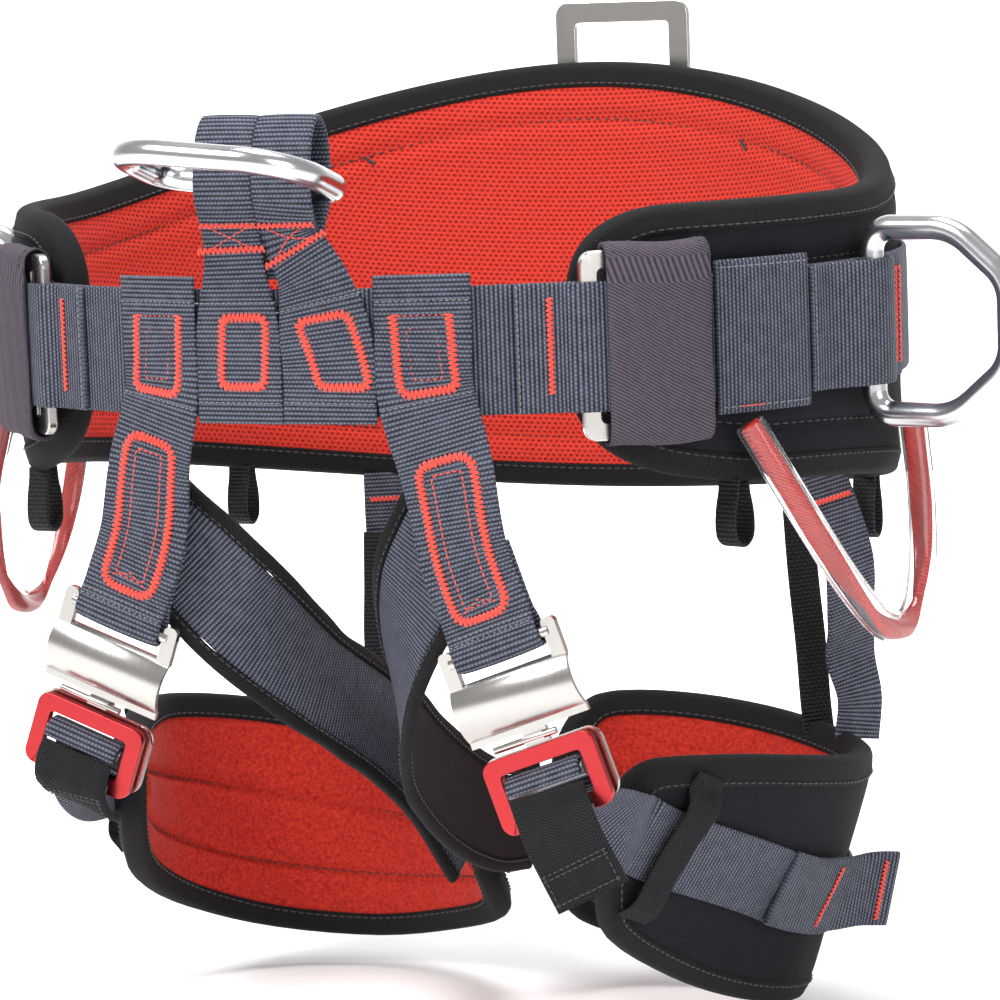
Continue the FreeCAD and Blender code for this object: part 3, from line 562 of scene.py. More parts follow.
class Pad:
    """A pad's middle surface.

    place(u, v, r) is a point r outwards from it, edges(u, inset) are its two limits in v, and
    scale(u) is the millimetres per unit of u and of v.
    """

    def __init__(self, place, edges, first, last, scale, thick, step):
        self.place, self.edges, self.first, self.last = place, edges, first, last
        self.scale, self.thick, self.step = scale, thick, step

    def half(self, depth):
        """Half the thickness at a distance from the edge: pressed thin under the tape, then full."""
        run = np.clip(depth / 17, 0, 1)
        return self.thick / 2 * (0.5 + 0.56 * (1 - (1 - run) ** 2.4))

    def depth(self, u, v):
        low, high = self.edges(u, 0.0)
        along, up = self.scale(u)
        ends = np.minimum(u - self.first, self.last - u) * along
        return np.minimum(np.minimum((v - low) * up, (high - v) * up), ends)

    def rim(self):
        """(u, v) round the pad and the inward unit direction in (u, v) per millimetre."""
        turn = np.linspace(0, math.pi / 2, 26)
        reach = self.step * 3
        u = np.concatenate([self.first + (1 - np.cos(turn)) * self.step * 3,
                            np.linspace(self.first + reach, self.last - reach, 90)[1:-1],
                            self.last - (1 - np.sin(turn)) * self.step * 3])
        low, high = self.edges(u, 0.0)
        ends = np.linspace(0, 1, 9)[1:-1]
        line = np.concatenate([
            np.stack([u, high], 1),
            np.stack([np.full(7, u[-1]), high[-1] + (low[-1] - high[-1]) * ends], 1),
            np.stack([u[::-1], low[::-1]], 1),
            np.stack([np.full(7, u[0]), low[0] + (high[0] - low[0]) * ends], 1)])
        line = np.vstack([line, line[:1]])
        solid = self.place(line[:, 0], line[:, 1], 0)
        _, line = resampled(solid, 3.0, line)
        line = line[:-1]
        for _ in range(2):
            line = (np.roll(line, 1, 0) + 2 * line + np.roll(line, -1, 0)) / 4
        ahead = np.roll(line, -1, 0) - np.roll(line, 1, 0)
        along, up = np.broadcast_arrays(*self.scale(line[:, 0]))
        flat = unit(np.stack([ahead[:, 0] * along, ahead[:, 1] * up], 1))
        inward = np.stack([flat[:, 1], -flat[:, 0]], 1)
        middle = line.mean(0)
        if np.sum((middle - line) * inward * np.stack([along, up], 1)) < 0:
            inward = -inward
        return line, inward / np.stack([along, up], 1)

    def inset(self, line, inward, d, r):
        spot = line + inward * d
        return self.place(spot[:, 0], spot[:, 1], r)

    def tape(self):
        """Edge tape folded over the rim, as one closed frame."""
        line, inward = self.rim()
        round_r = float(self.half(0.0)) + TAPE_PROUD
        edge = self.half(BINDING)
        section = [(BINDING, edge - 0.3), (BINDING - 0.15, edge + TAPE_PROUD * 0.8)]
        section += [(d, self.half(d) + TAPE_PROUD) for d in np.linspace(BINDING - 0.9, round_r, 5)]
        face = list(section)
        start = face[-1][1]
        for turn in np.linspace(75, -75, 9):
            t = math.radians(turn)
            face.append((round_r * (1 - math.cos(t)), start * math.sin(t)))
        face += [(d, -r) for d, r in reversed(section)]
        rings = np.stack([self.inset(line, inward, d, r) for d, r in face], 1)
        around = lengths(np.array(face))
        v = np.tile(np.append(around, around[-1] + self.thick), (len(line), 1))
        centre = self.inset(line, inward, 0.0, 0.0)
        u = np.concatenate([[0], np.cumsum(np.linalg.norm(np.diff(centre, axis=0), axis=1))])
        return surface_piece(rings, u, v, closed=True)

    def rim_stitches(self):
        """Running stitches round the tape on both faces."""
        line, inward = self.rim()
        line, inward = np.vstack([line, line[:1]]), np.vstack([inward, inward[:1]])
        r = float(self.half(TAPE_SEAM)) + SEAM_LIFT
        middle = self.inset(line, inward, TAPE_SEAM, 0.0)
        lines = []
        for face in (-1, 1):
            path = self.inset(line, inward, TAPE_SEAM, face * r)
            lines += running_lines(path, unit(path - middle), 3.4, 2.4)
        return lines

    def layer(self, face, grooves=(), crown=0.0, groove_depth=1.25):
        """One side of the pad as a closed lens, pressed in along its seams."""
        rows, pitch, waves = 46, 3.0, 0.12
        along, _ = self.scale(np.array([self.first, self.last]))
        start, stop = self.first + PAD_INSET / along[0], self.last - PAD_INSET / along[1]
        spread = np.linspace(start, stop, 60)
        low, high = self.edges(spread, PAD_INSET)
        girths = lengths(self.place(spread, (low + high) / 2, 0))
        stations = np.interp(np.arange(0, girths[-1], pitch), girths, spread)
        rings, v_all = [], []
        share = (1 - np.cos(np.linspace(0, math.pi, rows))) / 2 * 0.5 + np.linspace(0, 1, rows) * 0.5
        for i, u in enumerate(stations):
            low, high = self.edges(np.array([u]), PAD_INSET)
            v = low[0] + (high[0] - low[0]) * share
            us = np.full(rows, u)
            d = self.depth(us, v)
            r = self.half(d) + crown * np.sin(math.pi * share)
            for groove in grooves:
                away = np.abs(groove(us, v))
                pressed, raised = np.exp(-(away / 1.5) ** 2), np.exp(-((away - 6) / 4) ** 2)
                r = r - groove_depth * pressed + 0.35 * raised
            r = r + waves * np.sin(i * pitch / 17.0) * np.sin(v * self.scale(us)[1] / 13.0)
            front = self.place(us, v, face * r)
            back = self.place(us[:4], np.linspace(v[-1], v[0], 4), np.full(4, face * 0.3))
            rings.append(np.vstack([front, back]))
            flat = lengths(front)
            v_all.append(np.concatenate([flat, flat[-1] + np.arange(1, 6) * 5.0]))
        return surface_piece(np.array(rings), np.arange(len(stations)) * pitch, np.array(v_all))

    def seam(self, u, v, face, lift=-0.9, crown=0.0):
        """A line on one face through (u, v) points and its outward directions."""
        low, high = self.edges(u, PAD_INSET)
        r = self.half(self.depth(u, v)) + crown * np.sin(math.pi * (v - low) / (high - low)) + lift
        path = self.place(u, v, face * r)
        return path, unit(path - self.place(u, v, 0 * r))


WAIST_PAD = Pad(lambda u, v, r: belt(u, PAD_THICK / 2 + r, v), pad_edges, PAD_END, 360 - PAD_END,
                lambda u: (girth(u), 1.0), PAD_THICK, 5.0)


def pad_pieces(pad, start, end, body, cover, lining, shell):
    """A pad's lining, shell and edge tape, each standing for its CAD solid."""
    for piece, part, material, slot, node in (
            ("lining", lining, cover, "mesh_lining", "lining"),
            ("shell", shell, "outer_fabric", "outer_fabric", "shell"),
            ("edge_tape", pad.tape(), "edge_tape", "edge_tape", "binding")):
        made = joined(start + piece + end, [part], material, body, [start + "pad_" + node + end])


def build_waist_pad():
    def from_top(u, v):
        return pad_edges(u, 0)[1] - SEAM_BELOW_TOP - v

    def from_bottom(u, v):
        return v - SEAM_ABOVE_LOW - pad_edges(u, 0)[0]

    grooves = (from_top, from_bottom)
    pad_pieces(WAIST_PAD, "waist_", "", "root", "mesh_lining", WAIST_PAD.layer(-1, grooves, LINING_CROWN),
               WAIST_PAD.layer(1, grooves, SHELL_CROWN))
    lines = WAIST_PAD.rim_stitches()
    u = np.linspace(PAD_END + 9, 360 - PAD_END - 9, 220)
    low, top = pad_edges(u, 0)
    for face, crown in ((-1, LINING_CROWN), (1, SHELL_CROWN)):
        for v in (top - SEAM_BELOW_TOP, low + SEAM_ABOVE_LOW):
            lines += running_lines(*WAIST_PAD.seam(u, v, face, crown=crown), 4.2, 2.6)
    joined("waist_pad_stitching", [thread_piece(lines, 0.3)], "black_thread", "root")
    tacks = []
    for angle in (152.0, 214.0):
        u = np.full(9, angle) + np.linspace(-0.6, 0.6, 9)
        v = pad_edges(u, 0)[1] - (SEAM_BELOW_TOP + 2) + np.linspace(-1.5, 1.5, 9)
        tacks += satin_lines(*WAIST_PAD.seam(u, v, -1, 0.1, LINING_CROWN), 1.6, 0.6, 0.4)
    joined("waist_pad_tacks", [thread_piece(tacks, 0.35)], "black_thread", "root")


def strip_object(name, strips, material, body, replaces=(), slot=None, **shape):
    parts = [strip.piece(seed=i + 3, **shape) for i, strip in enumerate(strips)]
    return joined(name, parts, material, body, replaces)


RED_SATIN, RED_THIN, EDGE_RUNS = [], [], []      # threads sewn on root's webbing


def box_stitch(strip, s0, s1, x0, x1, top_shift=0.0, open_start=False, turn=3.0, inner_line=True):
    """Satin outline of a patch from s0 to s1, with a thin running outline inside it when asked."""
    corners = [(s0, x0 + top_shift), (s1, x0), (s1, x1), (s0, x1 + top_shift)]
    outline = rounded(corners, turn, closed=not open_start)
    RED_SATIN.extend(satin_lines(*drawn(strip, outline, closed=not open_start)))
    if open_start:
        RED_THIN.extend(sew(strip, [corners[0], corners[-1]], 2.2, 1.9, 0.2))
    if not inner_line:
        return
    gap = 4.6
    way = 1 if s1 > s0 else -1
    first, last = s0 + way * gap, s1 - way * gap
    inner = [(first, x0 + top_shift + gap), (last, x0 + gap), (last, x1 - gap),
             (first, x1 + top_shift - gap)]
    path, out = drawn(strip, rounded(inner, 1.5), closed=True)
    RED_THIN.extend(running_lines(path, out, 2.4, 2.0, 0.15))


def build_belt():
    back = belt_strip([(a, WEB_LAYER) for a in np.linspace(50.5, 309.5, 25)], BELT_WEB)
    strip_object("belt_webbing", [back], "webbing", "root", ["waist_webbing"], ripple=0.12)
    front = belt_strip([(a, WEB_LAYER) for a in np.linspace(-49.5, 49.5, 13)], BELT_WEB)
    strips, hips = [front], []
    for _, s in SIDES:
        strips.append(belt_strip([(s * a, out) for a, out in (
            (29, SECOND_LAYER), (34, SECOND_LAYER), (36.2, OVER_PLATE), (39, OVER_PLATE),
            (40.4, OVER_PLATE - 0.6))], BELT_WEB))
        hips.append(belt_strip([(s * a, SECOND_LAYER + 0.2) for a in (54, 60, 64, 68.4)],
                               BELT_WEB + 9, 2.4))
    strip_object("front_belt", strips, "webbing", "root", ["front_belt_web"], ripple=0.1)
    strip_object("hip_layers", hips, "webbing", "root", ["hip_webs"], ripple=0.1)
    for strip, (_, s) in zip(strips[1:], SIDES):
        RED_SATIN.extend(bar_tack(strip, 12.0, -15.5, 12.0, 17.0, 2.4, s))
        EDGE_RUNS.extend(sew(strip, [(0.8, -21), (0.8, 21)], 2.4, 1.8, face=s))
    edge = 24.5
    for strip, (_, s) in zip(hips, SIDES):
        for x in (-edge, edge):
            EDGE_RUNS.extend(sew(strip, [(2, x), (strip.total - 2, x)], 3.0, 2.2, face=s))
        RED_THIN.extend(sew(strip, [(9, -edge), (18, -edge)], 1.6, 1.4, 0.3, s))


SLEEVE_HALF, SLEEVE_COLUMNS = 35.0, 15           # half its height; columns from edge to edge


def sleeve_outline(grow, count):
    """Points round the flat sleeve's section, as (distance out, z)."""
    middle, reach = (SLEEVE_IN + SLEEVE_OUT) / 2, (SLEEVE_OUT - SLEEVE_IN) / 2
    straight = SLEEVE_HALF - reach
    line = []
    for end in (1, -1):
        for k in range(9):
            t = math.radians(22.5 * k)
            line.append((middle + end * (reach + grow) * math.cos(t),
                         end * (straight + (reach + grow) * math.sin(t))))
    line.append(line[0])
    return resampled(np.array(line), 2 * (2 * straight + math.pi * reach) / count)[0][:-1]


def build_sleeves():
    parts, lines = [], []
    for _, s in SIDES:
        angles = s * np.linspace(39.4, 52.2, SLEEVE_COLUMNS)
        outer, inner = sleeve_outline(0.5, 90), sleeve_outline(-0.5, 90)
        count = min(len(outer), len(inner))
        rings = []
        for i in range(count):
            reach, z = outer[i]
            inner_reach, inner_z = inner[i]
            swell = 0.55 * np.sin(np.linspace(0, math.pi, SLEEVE_COLUMNS)) + 0.25 * np.sin(angles * 1.9 + z / 9)
            pull = 0.5 * np.cos(math.pi * z / 76) * np.sin(z / 6.5 + angles / 3)
            proud = (swell + pull * 0.4) * (1 if reach > WEB_LAYER + 2.7 else -0.1)
            front = belt(angles, reach + proud, z + 0.5 * np.sin(angles / 2))
            behind = belt(angles[::-1], inner_reach + 0 * angles, inner_z)
            rings.append(np.vstack([front, behind]))
        rings = np.array(rings)
        across = np.concatenate([lengths(rings[0]), [lengths(rings[0])[-1] + 1]])
        u = lengths(rings[:, 0])
        parts.append(surface_piece(rings, u, np.tile(across, (count, 1)), closed=True))
        for column in (1, SLEEVE_COLUMNS - 2):
            path = rings[:count // 2, column] if rings[2, 0, 1] < 0 else rings[:, column]
            out = outward(np.full(len(path), angles[column]))
            lines += running_lines(path + out * 0.15, out, 3.0, 2.2)
    joined("belt_sleeves", parts, "sleeve_twill", "root", ["keeper_sleeves"])
    joined("sleeve_stitching", [thread_piece(lines, 0.28)], "black_thread", "root")


def s_where(strip, z):
    """The distance along a strip where it first passes a height."""
    for i in range(len(strip.s) - 1):
        a, b = strip.points[i][2], strip.points[i + 1][2]
        if (a - z) * (b - z) <= 0 and a != b:
            return strip.s[i] + (strip.s[i + 1] - strip.s[i]) * (z - a) / (b - a)
    return strip.total


def cross_runs(strip):
    """Thin running lines across a front panel, above and below its patch."""
    half = FRONT_STRAP / 2 - 1.5
    for z in (18.0, -17.0):
        at_s = s_where(strip, z)
        EDGE_RUNS.extend(sew(strip, [(at_s, -half), (at_s, half)], 2.2, 1.8))


def build_ventral():
    strips = []
    narrow, steps = 22.5, 10
    for _, s in SIDES:
        angle = FRONT_TURN + s * 5.6
        panel = belt(angle, SECOND_LAYER, 0.0)
        x_low, x_high, front = panel[0], VENTRAL_AT[0] + 4 + s * 11.3, panel[1]
        x_middle = x_low + (x_high - x_low) * 0.35
        over_ring = [(x_high, y, z) for y, z in (
            (front - 0.4, 41), (-160.6, 54), (-160.6, 64), (-157.5, 76), (-151.5, 82), (-146, 76),
            (-144.6, 64), (-144.8, 54), (front + 2.5, 41), (front + 2.5, 26))]
        points = curve([(x_low, front, -24.4), (x_low, front, 0), (x_middle, front, 24)] + over_ring, steps)
        bend = 4 * steps
        width = [FRONT_STRAP - (FRONT_STRAP - narrow) * smooth((p[2] - 4) / 34) for p in points[:bend]]
        width += [narrow] * (len(points) - bend)
        flat = -turned(angle)
        share = smooth((points[:, 2] - 22) / 20)[:, None]
        across = flat * (1 - share) + vec(-1, 0, 0) * share
        strips.append(Strip(points, across, width))
    strip_object("ventral_straps", strips, "webbing", "root", ["ventral_webs"], sag=0.3, ripple=0.12)
    for strip, patch in zip(strips, ((-9.5, 9.0, -5.5), (-12.0, 5.5, 1.5))):
        box_stitch(strip, 13.0, 37.2, *patch, inner_line=False)
        cross_runs(strip)
        low, high = s_where(strip, 36.5), s_where(strip, 45.5)
        RED_SATIN.extend(bar_tack(strip, low, -12.6, low, 12.6, 2.6, 1, 1.0))
        RED_SATIN.extend(bar_tack(strip, high, -10.4, high, 10.4, 2.2, 1, 1.0))
        for x_low, x_high in ((-9, 9), (9, -9)):
            RED_THIN.extend(sew(strip, [(low, x_low), (high, x_high)], 2.0, 1.8, 0.2))


def build_side_rings():
    for side, s in SIDES:
        lap = SECOND_LAYER + 0.4
        crest = RING_OFFSET + RING_BAR / 2 + 1.4
        strip = belt_strip([(s * a, out) for a, out in (
            (69.2, lap), (73, lap), (RING_ANGLE - 3.2, crest - 2.4), (RING_ANGLE, crest),
            (RING_ANGLE + 3.2, crest - 2.4), (RING_ANGLE + 7, lap),
            (RING_ANGLE + 11.5, lap))], BELT_WEB)
        strip_object("ring_strap_" + side, [strip], "webbing", "root", ["side_ring_web_" + side],
                     ripple=0.1)
        for back in (3.2, 6.6):
            s_tack = strip.total - back
            RED_SATIN.extend(bar_tack(strip, s_tack, -17, s_tack + 0.8, 17, 1.9, s, 1.0))
        EDGE_RUNS.extend(sew(strip, [(1.2, -21), (1.2, 21)], 2.4, 1.8, face=s))


def build_rear_ring_strap():
    ring_x, ring_z, bar = 8.0, 66.0, 8.5
    bar_z = ring_z + bar / 2
    wrap = math.hypot(bar / 2, 1.5) + 1.6
    y_pivot = WAIST_B + PAD_THICK + 0.6 + 1.4 + wrap
    flat = WAIST_B + SECOND_LAYER
    stops = [(ring_x, flat, 26), (ring_x, flat - 1.2, 44)]
    for turn in range(-30, 211, 30):
        t = math.radians(turn)
        stops.append((ring_x, y_pivot - wrap * math.cos(t), bar_z + wrap * math.sin(t)))
    stops += [(ring_x, flat + 2.2, 44), (ring_x, flat + 2.6, 26)]
    strip = Strip(curve(stops, 8), (1, 0, 0), 38.0)
    strip_object("rear_ring_strap", [strip], "rear_loop_web", "root", ["rear_ring_web"])


def rounded_path(corners, share=0.45):
    """Straight runs joined by tangent arcs, as in the CAD part's bent bars."""
    corners = [vec(*c) for c in corners]
    line = [corners[0]]
    for a, b, c in zip(corners, corners[1:], corners[2:]):
        u, v = unit(a - b), unit(c - b)
        turn = math.pi - math.acos(float(np.dot(u, v)))
        reach = share * min(np.linalg.norm(a - b), np.linalg.norm(c - b))
        radius = reach / math.tan(turn / 2)
        centre = b + unit(u + v) * radius / math.cos(turn / 2)
        start, stop = b + u * reach - centre, b + v * reach - centre
        for t in np.linspace(0, 1, 9):
            arm = start * math.sin((1 - t) * turn) + stop * math.sin(t * turn)
            line.append(centre + arm / math.sin(turn))
    line.append(corners[-1])
    return np.array(line)


def build_gear_loops():
    for side, s in SIDES:
        path = rounded_path([(s * x, y, z) for x, y, z in GEAR_LOOP])
        path = resampled(path, 1.0)[0]
        along = unit(np.gradient(path, axis=0))
        twist = np.linspace(0.3, 0.3 + math.pi * 1.6, len(path))
        side_dir = unit(np.cross(along, vec(s, 0, 0.2)))
        up = np.cross(along, side_dir)
        across = side_dir * np.cos(twist)[:, None] + up * np.sin(twist)[:, None]
        web = Strip(path, across, 7.6, 3.4, 1.0)
        strip_object("gear_cord_" + side, [web], "red_web", "gear_loop_" + side, ["gear_web_" + side],
                     sag=0.4)


def build_tool_loops():
    shape = [(-2.6, 1.5), (-3.2, -3.6), (-4.6, -9), (-5.2, -15), (-4.2, -20), (0, -22.5), (4.2, -20),
             (5.2, -15), (4.6, -9), (3.2, -3.6), (2.6, 1.5)]
    line = curve(shape, 8)
    for name, (s, angle, turn_out) in TOOL_LOOPS.items():
        low = float(pad_edges(np.array([s * angle]), 0)[0][0])
        slant = unit(turned(s * angle) + outward(s * angle) * turn_out)
        across = unit(np.cross(slant, (0, 0, 1)))
        centre = belt(s * angle, PAD_THICK / 2, low)
        points = centre + line[:, :1] * slant + line[:, 1:] * vec(0, 0, 1)
        strip = Strip(points, across, 9.0, 1.2, 0.8)
        node = "tool_loop_" + name
        strip_object("tool_strap_" + name, [strip], "elastic", node, [node], "black_web", ripple=0.15)


# ---- legs ----
LEG_PADS = {
    "left": ((99, -101, -150, 87, -98, -200), (110, -80, -150, 85, -80, -218),
             (128, -47, -154, 93, -45, -238), (142, -13, -160, 102, -13, -252),
             (144, 23, -166, 110, 19, -262), (130, 62, -168, 102, 55, -268),
             (94, 87, -164, 72, 77, -267), (57, 94, -160, 44, 78, -261),
             (28, 84, -158, 24, 66, -251), (14, 60, -161, 14, 46, -238)),
    "right": ((-119, -42, -155, -128, -32, -206), (-138, 0, -155, -141, 2, -228),
              (-146, 36, -157, -141, 38, -246), (-127, 70, -164, -121, 68, -260),
              (-98, 82, -172, -82, 80, -264), (-62, 70, -181, -46, 72, -258),
              (-34, 46, -190, -18, 52, -248), (-14, 20, -202, -10, 28, -234)),
}
LEG_STEPS = 4
LEG_FINE = {side: curve(stations, LEG_STEPS) for side, stations in LEG_PADS.items()}


def leg_surface(side, u, v, out):
    """A point of a leg pad: station number, share of the height from the top, distance off its inner face."""
    line = LEG_FINE[side]
    u = np.atleast_1d(np.asarray(u, float))
    v, out = np.broadcast_to(v, u.shape), np.broadcast_to(out, u.shape)
    at = np.clip(u * LEG_STEPS, 0, len(line) - 1)
    ahead = np.gradient(line, axis=0)
    knots = np.arange(len(line))
    here = np.stack([np.interp(at, knots, line[:, k]) for k in range(6)], 1)
    slope = np.stack([np.interp(at, knots, ahead[:, k]) for k in range(6)], 1)
    beyond = (u * LEG_STEPS - at)[:, None]
    here = here + slope * beyond
    top, low = here[:, :3], here[:, 3:]
    along = slope[:, :3] * (1 - v[:, None]) + slope[:, 3:] * v[:, None]
    normal = unit(np.cross(along, top - low)) * (1 if side == "left" else -1)
    return top + (low - top) * v[:, None] + normal * out[:, None]


def leg_height(side, u):
    return np.linalg.norm(leg_surface(side, u, 0, 0) - leg_surface(side, u, 1, 0), axis=1)


def leg_edges(side):
    last = len(LEG_PADS[side]) - 1

    def edges(u, inset):
        u = np.atleast_1d(np.asarray(u, float))
        near = np.minimum(u, last - u)
        round_off = 0.30 * (1 - np.sqrt(np.clip(1 - (1 - np.clip(near / 0.85, 0, 1)) ** 2, 0, 1)))
        cut = round_off + inset / leg_height(side, u)
        return cut, 1 - cut
    return edges


def leg_scale(side):
    def scale(u):
        u = np.atleast_1d(np.asarray(u, float))
        chord = leg_surface(side, u + 0.05, 0.5, 5) - leg_surface(side, u - 0.05, 0.5, 5)
        step = np.linalg.norm(chord, axis=1)
        return step / 0.1, leg_height(side, u)
    return scale


LEG_PAD_SHAPES = {side: Pad(lambda u, v, r, side=side: leg_surface(side, u, v, LEG_PAD_THICK / 2 + r),
                            leg_edges(side), 0.0, float(len(LEG_PADS[side]) - 1), leg_scale(side),
                            LEG_PAD_THICK, 0.28) for side, _ in SIDES}


def build_leg_pad(side):
    pad, body = LEG_PAD_SHAPES[side], "leg_loop_" + side

    def seam_share(u, k):
        """Height shares of the two quilting seams, bowed a little towards the lower edge."""
        run = u / pad.last
        return 0.36 + 0.30 * k + 0.05 * np.sin(math.pi * run)

    grooves = [lambda u, v, k=k: (v - seam_share(u, k)) * pad.scale(u)[1] for k in (0, 1)]
    pad_pieces(pad, "leg_", "_" + side, body, "fleece_lining", pad.layer(-1, grooves, LEG_CROWN, 2.4),
               pad.layer(1, (), 0.3))
    joined("leg_pad_stitching_" + side, [thread_piece(pad.rim_stitches(), 0.3)], "black_thread", body)
    seams = []
    for k in (0, 1):
        u = np.linspace(0.35, pad.last - 0.35, 160)
        seams += running_lines(*pad.seam(u, seam_share(u, k), -1, -1.9, LEG_CROWN), 3.8, 2.5)
    joined("leg_quilting_" + side, [thread_piece(seams, 0.42)], "dark_red_thread", body)


def connector_frame(side):
    s = 1 if side == "left" else -1
    t = math.radians(CONNECTOR_TILT) * s
    x, z = vec(math.cos(t), 0, math.sin(t)), vec(-math.sin(t), 0, math.cos(t))
    return vec(*CONNECTOR_AT[side]), x, np.cross(z, x), z


def connector_at(side, x, y, z):
    origin, x_dir, y_dir, z_dir = connector_frame(side)
    return origin + x_dir * x + y_dir * y + z_dir * z


def bar_fold(side, y, z, wrap, way):
    """Points of a strap folded round a connector's bar, over it (way 1) or under it (way -1)."""
    turns = [math.radians(t) for t in FOLD_TURNS]
    return [connector_at(side, 0, y + wrap * math.sin(t), z + way * wrap * math.cos(t)) for t in turns]


def build_down_strap(side, s):
    angle = FRONT_TURN + s * 16.9
    wrap = 2.2 + STRAP_PLAY + HALF_WEB
    top = [belt(angle, SECOND_LAYER, z) for z in (27.0, 8.0, -14.0)]
    bend = top[-1] + (connector_at(side, 0, -1.3, 12) - top[-1]) * 0.35
    bend[1] = min(bend[1], top[-1][1] + 0.5)
    near = [connector_at(side, 0, y, z) for y, z in ((-1.3, 34), (-1.6, 12), (-2.6, 6))]
    fold = bar_fold(side, 0.4, 0, wrap, -1)
    rear = [connector_at(side, 0, y, z) for y, z in ((3.0, 6), (1.2, 12), (1.2, 34))]
    points = curve(top + [bend] + near + fold + rear, 10)
    _, x_dir, _, _ = connector_frame(side)
    share = smooth((-16 - points[:, 2]) / 45)[:, None]
    strip = Strip(points, turned(angle) * (1 - share) + x_dir * share, FRONT_STRAP)
    strip_object("down_webbing_" + side, [strip], "webbing", "root", ["down_strap_" + side],
                 sag=0.35, ripple=0.15)
    lean = 3.0 * s
    box_stitch(strip, 14.0, 41.0, -9.8 + 0.6 * lean, 9.8 + 0.6 * lean, -lean * 0.8, open_start=True,
               turn=3.5)
    cross_runs(strip)
    lowest = int(np.argmin(strip.points[:, 2]))
    bar = strip.s[lowest] - 2.0
    box_stitch(strip, bar - 71, bar - 15, -10.2, 10.2, turn=6.0)
    RED_THIN.extend(sew(strip, [(bar - 19, -6), (bar - 21.5, 0), (bar - 19, 6)], 2.0, 1.7, 0.2))
    for back in (8.5, 10.5):
        EDGE_RUNS.extend(sew(strip, [(bar - back, -15.5), (bar - back, 15.5)], 2.2, 1.8))


LEG_WEB_LEAD = {
    "left": [(104, -124, -163), (109, -108, -172)],
    "right": [(-98, -124, -158), (-116, -88, -170)],
}
LEG_WEB_ROUTE = {
    "left": ((0.6, 0.4), (1.5, 0.44), (2.5, 0.48), (3.5, 0.54), (4.5, 0.56), (5.5, 0.54), (6.5, 0.5),
             (7.6, 0.46), (8.7, 0.42)),
    "right": ((0.5, 0.42), (1.5, 0.5), (2.5, 0.52), (3.5, 0.5), (4.5, 0.48), (5.5, 0.45), (6.5, 0.42)),
}
LEG_TAIL = {
    "left": [(100, -154.4, -157), (107, -159, -168), (116, -158, -186)],
    "right": [(-87.3, -154.9, -149.2), (-88.6, -154.6, -156), (-88.4, -149.5, -162),
              (-87, -142, -166.5)],
}
TAIL_ACROSS = {"left": (0.86, 0.0, 0.5), "right": (0.9, 0.1, -0.42)}
LEG_STOP = {
    "left": ((2.9, 0.5, 0), (3.4, 0.52, 0.5), (3.9, 0.51, 3), (4.15, 0.48, 9), (4.3, 0.46, 17)),
    "right": ((2.25, 0.5, 0), (2.5, 0.5, 0.3), (2.75, 0.5, 1.0), (3.0, 0.5, 1.8)),
}


def leg_on(side, u, v, out):
    return leg_surface(side, np.array([u]), np.array([v]), np.array([out]))[0]


